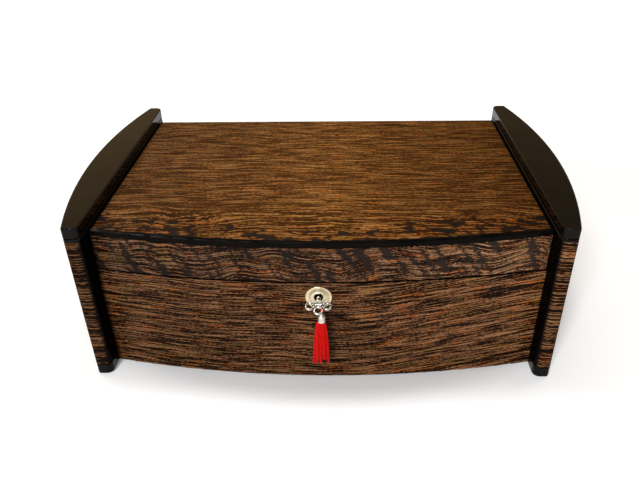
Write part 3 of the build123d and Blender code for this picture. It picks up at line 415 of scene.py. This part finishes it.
def plastic():
    """Black moulded plastic with a fine texture."""
    mat, tree, shader = start("black_plastic")
    pits = grain_noise(tree, place(tree), scale=1400.0, detail=1.0)
    colour = ramp(tree, pits, (0.3, (0.012, 0.012, 0.013)), (0.7, (0.026, 0.026, 0.028)))
    finish(tree, shader, Base_Color=colour, Roughness=spread(tree, pits, 0.3, 0.7, 0.38, 0.5))
    bump(tree, shader, pits, strength=0.3, distance=0.0001)
    return mat


def dial_face():
    """Matt cream paper."""
    mat, tree, shader = start("dial")
    paper = grain_noise(tree, place(tree), scale=700.0, detail=3.0)
    colour = ramp(tree, paper, (0.3, (0.80, 0.77, 0.69)), (0.7, (0.88, 0.86, 0.79)))
    finish(tree, shader, Base_Color=colour, Roughness=0.5)
    return mat


def glass():
    """Clear glass with faint smears."""
    mat, tree, shader = start("lens")
    smear = grain_noise(tree, place(tree), scale=180.0, detail=2.0)
    finish(tree, shader, Roughness=spread(tree, smear, 0.4, 0.8, 0.01, 0.05))
    finish(tree, shader, Transmission_Weight=1.0, IOR=1.45, Base_Color=(0.97, 0.99, 0.98))
    return mat


# Veneer colours, from the darkest streaks to the palest
BROWN = (
    (0.006, 0.00312, 0.00156), (0.018, 0.0066, 0.00252), (0.0516, 0.0192, 0.0069),
    (0.108, 0.0444, 0.0174), (0.336, 0.162, 0.075),
)
GOLD = (
    (0.0166, 0.0069, 0.00276), (0.0497, 0.0166, 0.00442), (0.102, 0.0373, 0.00828),
    (0.159, 0.0621, 0.0145), (0.552, 0.262, 0.0759),
)
BAND = (
    (0.006, 0.0035, 0.0020), (0.018, 0.0074, 0.0034), (0.047, 0.0192, 0.0085),
    (0.092, 0.043, 0.0215), (0.255, 0.140, 0.080),
)
MATERIALS = {
    "lid_top": veneer(
        "veneer_top", "Y", GOLD, thin=0.0010, length=0.016, bend=0.022, bend_size=0.060,
        # painted light: the lid's bluish-grey left gain is a painted sheen, and its right is painted darker
        painted_light_gains=((0.58, 0.60, 0.82), 0.95, (0.47, 0.42, 0.36)), gloss=0.16,
        patchy=(0.013, 0.010, 0.5, 0.548), front_edge=True,
    ),
    "lid_front": veneer(
        "veneer_band", "Z", BAND, thin=0.00065, length=0.014, bend=0.03, bend_size=0.045,
        painted_light_gains=(0.78, 1.1, 1.95), patchy=(0.0065, 0.028, 0.6, 0.552),
    ),
    "front": veneer(
        "veneer_front", "Z", BROWN, thin=0.00065, length=0.016, bend=0.01, bend_size=0.12,
        lean=0.022, painted_light_gains=(0.72, 0.92, 1.22),
    ),
    "panel": veneer(
        "veneer_panel", "Z", BROWN, thin=0.0009, length=0.03, bend=0.006, bend_size=0.08,
        painted_light_gains=(0.56, 0.8, 1.0), inner_black=True,
    ),
    "black": lacquer("black_lacquer", shine=0.1, rough=0.05),
    "moulding": lacquer("black_moulding", shine=0.03, rough=0.22),
    "cedar_z": cedar("cedar_upright", "Z"),
    "cedar_y": cedar("cedar_flat", "Y"),
    "nickel": metal("nickel", (0.56, 0.54, 0.50), (0.36, 0.33, 0.28), 0.14),
    "pale_gold": metal("pale_gold", (0.76, 0.67, 0.47), (0.60, 0.48, 0.24), 0.32, bore=KEYHOLE_RADIUS),
    "brass": metal("brass", (0.80, 0.56, 0.22), (0.52, 0.33, 0.11), 0.18),
    "satin": metal("satin_silver", (0.66, 0.62, 0.56), (0.56, 0.51, 0.43), 0.36),
    "steel": metal("steel", (0.52, 0.52, 0.53), (0.36, 0.35, 0.34), 0.25),
    "magnet": metal("magnet", (0.32, 0.32, 0.33), (0.22, 0.22, 0.22), 0.3),
    "felt": cloth(
        "felt", (0.006, 0.006, 0.006), (0.02, 0.02, 0.021), scale=(900.0, 900.0, 900.0),
        rough=0.95, fuzz=0.3,
    ),
    "thread": cloth(
        "thread", (0.50, 0.002, 0.002), (0.88, 0.010, 0.008), scale=(2500.0, 2500.0, 160.0),
        rough=0.5, fuzz=0.03,
    ),
    "foam": cloth(
        "foam", (0.03, 0.055, 0.025), (0.12, 0.19, 0.09), scale=(800.0, 800.0, 800.0),
        rough=0.9, fuzz=0.1,
    ),
    "plastic": plastic(),
    "dial": dial_face(),
    "lens": glass(),
}

# Each material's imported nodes
FINISH = {
    "lid_top": ["lid_top"],
    "lid_front": ["lid_front", "lid_back"],
    "front": ["body_front", "body_back", "body_side_left", "body_side_right", "body_floor"],
    "panel": ["side_panel_left", "side_panel_right"],
    "black": [
        "side_cap_left", "side_cap_right", "side_base_left", "side_base_right", "lid_side_left",
        "lid_side_right",
    ],
    "moulding": ["lid_edge"],
    "cedar_z": [
        "lining_left", "lining_right", "lining_front", "lining_back", "tray_ledges", "lower_dividers",
        "tray_front", "tray_back", "tray_ends", "tray_divider", "lid_lining_front", "lid_lining_back",
        "lid_lining_ends",
    ],
    "cedar_y": ["lining_floor", "tray_slats", "lid_ceiling"],
    "nickel": ["key"],
    "pale_gold": ["escutcheon"],
    "brass": [
        "hinge_leaves_body", "hinge_leaves_lid", "hinge_pins", "hinge_screws_body", "hinge_screws_lid",
        "lock_case", "lock_screws", "strike_plate", "strike_screws", "hygrometer_case",
    ],
    "steel": ["lock_hub", "lock_bolt", "panel_screws"],
    "magnet": ["lid_magnets"],
    "plastic": ["humidifier_case", "humidifier_grille", "hygrometer_needle"],
    "dial": ["hygrometer_dial"],
    "lens": ["hygrometer_lens"],
}
for finish_name, members in FINISH.items():
    for member in members:
        slots = nodes[member].data.materials
        for index in range(len(slots)):
            slots[index] = MATERIALS[finish_name]


# Mesh building

def add(name, data):
    """An object in the scene."""
    obj = bpy.data.objects.new(name, data)
    bpy.context.scene.collection.objects.link(obj)
    return obj


def new_piece(name, mesh_maker, finish_name, slot, body, *replaced, smooth=True):
    """Builds a mesh, gives it a material and lets it ride on a body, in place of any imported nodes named."""
    shape = bmesh.new()
    mesh_maker(shape)
    # what stands for a solid is closed, so its faces can be turned outwards
    if replaced:
        bmesh.ops.recalc_face_normals(shape, faces=shape.faces[:])
    mesh = bpy.data.meshes.new(name)
    shape.to_mesh(mesh)
    shape.free()
    for face in mesh.polygons:
        face.use_smooth = smooth
    mesh.materials.append(MATERIALS[finish_name])
    obj = add(name, mesh)
    if replaced:
        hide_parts(*replaced)
    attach(obj, body)
    return obj


def turns(count):
    """The angles that part a full turn into equal steps."""
    return [2 * math.pi * step / count for step in range(count)]


def skin(shape, rings, closed, mirrored=False):
    """Joins rings of points one after another, and closes the ends with faces or with each other.

    Mirrored rings run the other way round, and so do their faces' corners.
    """
    turn = -1 if mirrored else 1
    pairs = list(zip(rings, rings[1:]))
    if closed:
        pairs.append((rings[-1], rings[0]))
    else:
        shape.faces.new(rings[0][::-turn])
        shape.faces.new(rings[-1][::turn])
    for first, second in pairs:
        for step in range(len(first)):
            after = (step + 1) % len(first)
            corners = (first[step], first[after], second[after], second[step])
            shape.faces.new(corners[::turn])


def tube(shape, path, radius, sides, closed=False):
    """A tube along a list of points."""
    count = len(path)
    rings = []
    side = None
    for index, point in enumerate(path):
        before = path[index - 1] if index or closed else point
        after = path[(index + 1) % count] if index < count - 1 or closed else point
        forward = (after - before).normalized()
        if side is None:
            side = forward.orthogonal().normalized()
        side = (side - forward * side.dot(forward)).normalized()
        other = forward.cross(side)
        ring = []
        for angle in turns(sides):
            reach = side * math.cos(angle) + other * math.sin(angle)
            ring.append(shape.verts.new(point + reach * radius))
        rings.append(ring)
    skin(shape, rings, closed)


def turned(shape, profile, segments, spot, closed=False, mirrored=False):
    """A round form from (radius, height) points.

    spot says where a point of it lies in the model, from its two places across the form's axis and its
    height. It is mirrored where spot makes a left-handed set of axes of those three.
    """
    rings = []
    for radius, height in profile:
        ring = []
        for angle in turns(segments):
            ring.append(shape.verts.new(spot(radius * math.cos(angle), radius * math.sin(angle), height)))
        rings.append(ring)
    skin(shape, rings, closed, mirrored)


# Tassel

CAP_TOP = CAP_HIGH.z
BELL_FOOT = CAP_LOW.z
TASSEL_X = (CAP_LOW.x + CAP_HIGH.x) / 2
TASSEL_Y = (CAP_LOW.y + CAP_HIGH.y) / 2
BELL_X = TASSEL_X - 0.0006
LOOP_Z = LOOP_TOP - 0.0022

LOOP_RADIUS = 0.00145
LOOP_STEPS = 96
LOOP_THREAD = 0.00021
PLY_OFFSET = 0.00017
PLY_TURNS = 9
WHIP_TURNS = 4
WHIP_STEPS = 60
WHIP_OFFSET = 0.0005
WHIP_THREAD = 0.00024
LOOP_STEM = 0.00042

# The skirt's threads where they leave the bell
STRAND_RADIUS = 0.00036
STRAND_STEPS = 16
MOUTH_RADIUS = 0.0028
MOUTH_DEPTH = 0.0006
ROOT_SHARE = 0.45
ROOT_LIMIT = 0.0058
ROOT_SPREAD = 0.00045

# The same threads lower down: how soon they fan out, how they sway, and how they spread at their ends
FAN_POWER = 0.42
SWAY = 0.0002
LOOSE_SWAY = 0.00045
LOOSE_LOCK = 5
SWAY_ANGLE = 5.0
END_SPREAD = 0.0005
END_SCATTER = 0.00025
END_UNEVEN = 0.0007
SKIRT_EXTRA = 0.0010

# The tassel's locks: how far each ends to the right of the bell, behind it and above the lowest, in mm, and
# how many threads it has
LOCKS = (
    (-7.3, 0.3, 0.0, 15), (-6.2, -2.0, 0.5, 16), (-5.2, 2.2, 1.0, 16), (-3.9, -3.4, 5.0, 12),
    (-1.2, -3.0, 1.2, 10), (-0.9, 3.2, 4.2, 16), (-0.1, -0.4, 5.4, 16), (1.6, -2.6, 6.0, 18),
    (3.1, 1.6, 5.6, 18), (4.0, -1.2, 5.2, 14), (5.7, -0.6, 0.5, 3),
)
MILLIMETRE = 0.001


def scatter(size):
    """A random level step."""
    return Vector((random.gauss(0, 1), random.gauss(0, 1), 0)) * size


def skirt(shape):
    """Loose threads that leave the bell together, part into locks and end unevenly."""
    length = BELL_FOOT - SKIRT_END + SKIRT_EXTRA
    top = Vector((BELL_X, TASSEL_Y, BELL_FOOT + MOUTH_DEPTH))
    for east, depth, lift, threads in LOCKS:
        lock = Vector((east, depth, 0)) * MILLIMETRE
        root = lock.normalized() * min(lock.length, ROOT_LIMIT) * ROOT_SHARE
        for _ in range(threads):
            loose = scatter(1)
            first = root + loose * ROOT_SPREAD
            if first.length > MOUTH_RADIUS:
                first = first.normalized() * MOUTH_RADIUS
            last = lock + loose * END_SPREAD + scatter(END_SCATTER)
            drop = length - lift * MILLIMETRE - abs(random.gauss(0, END_UNEVEN))
            sway = scatter(LOOSE_SWAY if threads < LOOSE_LOCK else SWAY)
            phase = random.uniform(0, math.pi)
            path = []
            for step in range(STRAND_STEPS + 1):
                t = step / STRAND_STEPS
                swing = sway * math.sin(phase + t * SWAY_ANGLE) * min(1, 3 * t)
                spot = first.lerp(last, t ** FAN_POWER) + swing
                path.append(top + spot + Vector((0, 0, -t * drop)))
            tube(shape, path, STRAND_RADIUS, 6)


def bell(shape):
    """A small satin bell: narrow neck, sloping shoulder and a drawn-in waist above its lip."""
    top = CAP_TOP - BELL_FOOT
    profile = [
        (0.0009, top), (0.0013, top - 0.0001), (0.00145, top - 0.0004), (0.0014, top - 0.0008),
        (0.0017, top - 0.0010), (0.0024, top - 0.0015), (0.00305, top - 0.0024), (0.0033, top - 0.0030),
        (0.00332, top - 0.0035), (0.0032, top - 0.0041), (0.00306, top - 0.0050), (0.00302, 0.0019),
        (0.00308, 0.0013), (0.00325, 0.0009), (0.0034, 0.0006), (0.00345, 0.0003), (0.00336, 0.0),
        (0.0027, 0.0),
    ]
    foot = Vector((BELL_X, TASSEL_Y, BELL_FOOT))
    turned(shape, profile, 40, lambda east, north, height: foot + Vector((east, north, height)))


def loop(shape):
    """Two threads laid round each other, passed round the key's ring and whipped above the bell."""
    centre = Vector((TASSEL_X, TASSEL_Y, LOOP_Z))
    for ply in (0, math.pi):
        path = []
        for angle in turns(LOOP_STEPS):
            out = Vector((math.sin(angle), 0, -math.cos(angle)))
            twist = ply + PLY_TURNS * angle
            radial = out * (LOOP_RADIUS + PLY_OFFSET * math.cos(twist))
            path.append(centre + (radial + Vector((0, PLY_OFFSET * math.sin(twist), 0))))
        tube(shape, path, LOOP_THREAD, 6, closed=True)
    top = Vector((TASSEL_X, TASSEL_Y, LOOP_Z - LOOP_RADIUS))
    foot = Vector((BELL_X, TASSEL_Y, CAP_TOP))
    whip = []
    for step in range(WHIP_STEPS + 1):
        t = step / WHIP_STEPS
        angle = 2 * math.pi * WHIP_TURNS * t
        whip.append(top.lerp(foot, t) + Vector((math.cos(angle), math.sin(angle), 0)) * WHIP_OFFSET)
    tube(shape, whip, WHIP_THREAD, 6)
    tube(shape, [top, top.lerp(foot, 0.5), foot], LOOP_STEM, 8)


new_piece("tassel_threads", skirt, "thread", "thread", "tassel", "tassel_skirt")
new_piece("tassel_bell", bell, "satin", "nickel", "tassel", "tassel_cap")
new_piece("tassel_thread_loop", loop, "thread", "thread", "tassel", "tassel_loop")


# Keyhole plate

PLATE_RADIUS = (PLATE_HIGH.x - PLATE_LOW.x) / 2
PLATE_THICKNESS = FRONT_Y - PLATE_LOW.y
SLEEVE_END = FRONT_Y - PLATE_HIGH.y
SLEEVE_RADIUS = 0.0056

# The plate's face: inset from its edge, and height as a share of its thickness
PLATE_FACE = (
    (0.0, 0.5), (0.0001, 0.8), (0.0003, 0.95), (0.0007, 1.0), (0.0020, 0.99), (0.0031, 0.96),
    (0.0035, 0.90), (0.0039, 0.76), (0.0043, 0.66), (0.0050, 0.62), (0.0058, 0.62), (0.0061, 0.70),
    (0.0063, 0.86), (0.0066, 0.97), (0.0069, 1.0), (0.0072, 0.97), (0.0075, 0.88),
)
BORE_EDGE = 0.7


def plate(shape):
    """The dished plate with a rolled rim, a raised ring round the bore and a sleeve into the front."""
    sleeve = [(KEYHOLE_RADIUS, SLEEVE_END), (SLEEVE_RADIUS, SLEEVE_END), (SLEEVE_RADIUS, 0.0)]
    face = [(PLATE_RADIUS - inset, PLATE_THICKNESS * rise) for inset, rise in PLATE_FACE]
    profile = [*sleeve, (PLATE_RADIUS, 0.0), *face, (KEYHOLE_RADIUS, PLATE_THICKNESS * BORE_EDGE)]
    back = Vector((0, FRONT_Y, KEY_Z))
    turned(shape, profile, 96, lambda east, up, height: back + Vector((east, -height, up)), closed=True)


new_piece("keyhole_plate", plate, "pale_gold", "brass", "carcass", "escutcheon")


# Key

NECK = Vector((0, FRONT_Y - 0.009, KEY_Z))
DROOP = math.radians(18)
RING_RADIUS = 0.0034
WIRE_RADIUS = 0.0010
BOW_RINGS = ((-0.0075, 0.0035), (0.0075, 0.0035), (0.0, 0.0082))
CORE_REACH = 0.0016
COLLAR_BACK = FRONT_Y - 0.0086
BIT_REACH = 0.00295
BIT_LENGTH = 0.0036
BIT_THICKNESS = 0.0013
BIT_BEVEL = 0.0002
BIT_MIDDLE = KEY_TIP - 0.0031


def bow_point(right, reach, rise=0.0):
    """A place on the key's bow, which leans down from its neck."""
    forward = -reach * math.cos(DROOP) - rise * math.sin(DROOP)
    upward = -reach * math.sin(DROOP) + rise * math.cos(DROOP)
    return NECK + Vector((right, forward, upward))


def shank_point(east, up, along_shank):
    """A place on the key's shank, which runs from front to back."""
    return Vector((east, along_shank, KEY_Z + up))


def core_point(right, reach, rise):
    """A place on the rounded core that joins the bow's rings."""
    return bow_point(right, CORE_REACH + reach, rise)


def bit(shape):
    """The key's flat bit, with small bevels."""
    for corner in bmesh.ops.create_cube(shape, size=1.0)["verts"]:
        along_shank = BIT_MIDDLE + BIT_LENGTH * corner.co.y
        up = KEY_Z + BIT_THICKNESS * corner.co.z
        corner.co = Vector((BIT_REACH * (0.5 + corner.co.x), along_shank, up))
    bmesh.ops.bevel(shape, geom=shape.edges[:], offset=BIT_BEVEL, segments=2, affect="EDGES")


def key(shape):
    """A shank with a worn tip, a bit, a collar and a bow of three rings round a rounded core."""
    bit(shape)
    shank = (
        (0.0015, KEY_TIP), (0.0018, KEY_TIP - 0.0002), (0.0019, KEY_TIP - 0.0006),
        (0.0019, NECK.y + 0.0001), (0.0015, NECK.y - 0.0002),
    )
    turned(shape, shank, 48, shank_point, mirrored=True)
    collar = (
        (0.0019, 0.0), (0.0033, 0.0), (0.0036, 0.00015), (0.0037, 0.0005), (0.0037, 0.0010),
        (0.0036, 0.00135), (0.0033, 0.0015), (0.0019, 0.0015),
    )
    collar = [(radius, COLLAR_BACK - forward) for radius, forward in collar]
    turned(shape, collar, 64, shank_point, mirrored=True)
    core = (
        (0.0030, -0.00125), (0.0034, -0.0011), (0.0036, -0.0007), (0.0036, 0.0007), (0.0034, 0.0011),
        (0.0030, 0.00125),
    )
    turned(shape, core, 48, core_point, mirrored=True)
    for middle, reach in BOW_RINGS:
        path = []
        for angle in turns(72):
            right = middle + RING_RADIUS * math.cos(angle)
            path.append(bow_point(right, reach + RING_RADIUS * math.sin(angle)))
        tube(shape, path, WIRE_RADIUS, 20, closed=True)


new_piece("key_and_bow", key, "nickel", "nickel", "key", "key")


# Hygrometer dial

DIAL_CENTRE = Vector((
    (DIAL_CASE_LOW.x + DIAL_CASE_HIGH.x) / 2,
    (DIAL_CASE_LOW.y + DIAL_CASE_HIGH.y) / 2,
    DIAL_CASE_LOW.z + 0.00357,
))
MARK_RADIUS = 0.0200
NUMBER_RADIUS = 0.0148
NUMBER_HEIGHT = 0.0046

# The scale's marks: how many, the first one's angle and the angle between two, and how often one is long or
# has a number
MARKS = 51
SCALE_START = -135
SCALE_STEP = 5.4
LONG_EVERY = 5
NUMBER_EVERY = 10

# A mark's length and half its width
LONG_MARK = (0.0028, 0.00030)
SHORT_MARK = (0.0016, 0.00016)


def dial_point(right, up):
    """A place on the dial's face, which looks down and has its top towards the lid's front edge."""
    return DIAL_CENTRE + Vector((right, -up, 0))


def numeral(text, middle):
    """The corners and faces of a number, from the built-in font."""
    curve = bpy.data.curves.new("number", "FONT")
    curve.body = text
    curve.size = NUMBER_HEIGHT
    curve.align_x = "CENTER"
    curve.align_y = "CENTER"
    curve.resolution_u = 3
    obj = bpy.data.objects.new("number", curve)
    mesh = obj.to_mesh()
    corners = [dial_point(middle.x + vert.co.x, middle.y + vert.co.y) for vert in mesh.vertices]
    faces = [tuple(face.vertices) for face in mesh.polygons]
    obj.to_mesh_clear()
    bpy.data.objects.remove(obj)
    return corners, faces


def dial_marks(shape):
    """A scale of 0 to 100 over three quarters of a turn, with a number at every second long mark."""
    for mark in range(MARKS):
        angle = math.radians(SCALE_START + SCALE_STEP * mark)
        out = Vector((math.sin(angle), math.cos(angle)))
        side = Vector((math.cos(angle), -math.sin(angle)))
        length, half = SHORT_MARK if mark % LONG_EVERY else LONG_MARK
        corners = []
        for reach, offset in ((0, -half), (0, half), (-length, half), (-length, -half)):
            spot = out * (MARK_RADIUS + reach) + side * offset
            corners.append(shape.verts.new(dial_point(spot.x, spot.y)))
        shape.faces.new(corners)
        if mark % NUMBER_EVERY == 0:
            points, faces = numeral(str(2 * mark), out * NUMBER_RADIUS)
            made = [shape.verts.new(point) for point in points]
            for face in faces:
                shape.faces.new([made[index] for index in face])
    shape.normal_update()
    for face in shape.faces:
        if face.normal.z > 0:
            face.normal_flip()


new_piece("dial_marks", dial_marks, "plastic", "black_plastic", "lid", smooth=False)


# Felt and foam

ROUGH_SCALE = 160
MERGE_DISTANCE = 0.00002
MOST_CUTS = 5


def rough_slab(node, cell, unevenness):
    """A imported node's own outline with its faces divided and slightly uneven, as cut felt or foam is."""
    def make(shape):
        shape.from_mesh(nodes[node].data)
        bmesh.ops.remove_doubles(shape, verts=shape.verts, dist=MERGE_DISTANCE)
        for _ in range(MOST_CUTS):
            coarse = [edge for edge in shape.edges if edge.calc_length() > cell]
            if not coarse:
                break
            bmesh.ops.subdivide_edges(shape, edges=coarse, cuts=1, use_grid_fill=True)
            bmesh.ops.triangulate(shape, faces=[face for face in shape.faces if len(face.verts) > 4])
        shape.normal_update()
        for vert in shape.verts:
            lift = noise.noise(vert.co * ROUGH_SCALE) * unevenness - unevenness
            vert.co = vert.co + vert.normal * lift
    return make


felt_slab = rough_slab("felt_base", cell=0.02, unevenness=0.00008)
foam_slab = rough_slab("humidifier_foam", cell=0.003, unevenness=0.00025)
new_piece("felt_pads", felt_slab, "felt", "felt", "carcass", "felt_base", smooth=False)
foam = new_piece("foam_block", foam_slab, "foam", "foam", "lid", "humidifier_foam")


# Floor, light and camera

FLOOR_REACH = 9
FLOOR_DIM = (0.42, 0.40, 0.37)
FLOOR_SHOWN = (0.85, 0.87, 0.90)

# Turns places on the floor into shares of a little more than the box's half width and half depth
GLOW_SCALE = (4.0, 5.9, 0.0)

ROOM_FRONT = (0.22, 0.21, 0.20)
ROOM_BACK = (0.50, 0.33, 0.16)
WHITE = (1.0, 1.0, 1.0)
LAMP_WHITE = (1.0, 0.985, 0.96)

# The photograph's view, found by fitting the box's edges. The focal length is in pixels
PHOTO_WIDTH = 640
FOCAL_LENGTH = 632.43
SENSOR_WIDTH = 36
CAMERA_PLACE = (0.0207, -0.5932, 0.4238)
CAMERA_ANGLES = (58.0346, 1.0354, 1.7489)


def backdrop_rays(tree):
    """1 for the rays that show the plain backdrop: the camera's, and those off gloss or through glass."""
    path = tree.nodes.new("ShaderNodeLightPath")
    shown = sums(tree, "MAXIMUM", path.outputs["Is Camera Ray"], path.outputs["Is Glossy Ray"])
    return sums(tree, "MAXIMUM", shown, path.outputs["Is Transmission Ray"])


def floor():
    """A plain pale floor, white as it is seen, and dimmer in the light that it throws on the box."""
    mesh = bpy.data.meshes.new("floor")
    corners = [(x * FLOOR_REACH, y * FLOOR_REACH, 0) for x, y in ((-1, -1), (1, -1), (1, 1), (-1, 1))]
    mesh.from_pydata(corners, [], [(0, 1, 2, 3)])
    mat, tree, shader = start("floor")
    shown = backdrop_rays(tree)
    far = size_of(tree, scaled(tree, place(tree), *GLOW_SCALE))
    # there is no glow close round the box, so that its shadow shows at its foot
    near_glow = spread(tree, far, 0.95, 1.18, 0.0, 0.24)
    far_glow = spread(tree, far, 2.0, 6.0, 0.0, 0.6)
    glow = sums(tree, "ADD", near_glow, far_glow)
    finish(tree, shader, Base_Color=mix(tree, shown, FLOOR_DIM, FLOOR_SHOWN), Roughness=1.0)
    finish(tree, shader, Specular_IOR_Level=0.0, Emission_Color=WHITE)
    finish(tree, shader, Emission_Strength=sums(tree, "MULTIPLY", shown, glow))
    mesh.materials.append(mat)
    obj = add("floor", mesh)


def lamp(name, where, target, size, power):
    light = bpy.data.lights.new(name, "AREA")
    light.shape = "RECTANGLE"
    light.size, light.size_y = size
    light.energy = power
    light.color = LAMP_WHITE
    obj = add(name, light)
    obj.location = where
    obj.rotation_euler = (Vector(target) - Vector(where)).to_track_quat("-Z", "Y").to_euler()


def surroundings():
    """White to the camera, and a dim warm room to everything else."""
    world = bpy.data.worlds.new("room")
    bpy.context.scene.world = world
    world.use_nodes = True
    tree = world.node_tree
    tree.nodes.clear()
    path = tree.nodes.new("ShaderNodeLightPath")
    towards = put(tree, "ShaderNodeTexCoord", {})
    # a warm ceiling behind the box and a dimmer room in front of it, darker towards the right
    room = mix(tree, spread(tree, axis(tree, towards, "Y"), -0.25, 0.75), ROOM_FRONT, ROOM_BACK)
    fade = spread(tree, axis(tree, towards, "X"), -0.5, 0.45, 1.25, 0.5)
    room = put(tree, "ShaderNodeVectorMath", {0: room, 3: fade}, operation="SCALE")
    # gloss and glass show the white backdrop up to a little above the floor's edge
    low = spread(tree, axis(tree, towards, "Z"), 0.12, 0.26, 1.0, 0.0)
    low = sums(tree, "MULTIPLY", low, backdrop_rays(tree))
    white = sums(tree, "MAXIMUM", low, path.outputs["Is Camera Ray"])
    light = put(tree, "ShaderNodeBackground", {0: mix(tree, white, room, WHITE), 1: 1.0})
    out = tree.nodes.new("ShaderNodeOutputWorld")
    tree.links.new(light, out.inputs[0])


def camera():
    data = bpy.data.cameras.new("camera")
    data.sensor_width = SENSOR_WIDTH
    data.lens = FOCAL_LENGTH / PHOTO_WIDTH * SENSOR_WIDTH
    data.clip_start = 0.01
    obj = add("camera", data)
    obj.location = CAMERA_PLACE
    obj.rotation_euler = [math.radians(angle) for angle in CAMERA_ANGLES]
    bpy.context.scene.camera = obj


floor()
surroundings()
lamp("overhead", where=(-0.1, 0.2, 1.7), target=(-0.1, 0.2, 0), size=(2.4, 0.36), power=16)
lamp("front", where=(-0.55, -1.80, 1.35), target=(0, 0, 0.05), size=(0.5, 0.4), power=40)
camera()
bpy.context.scene.view_settings.view_transform = "Standard"
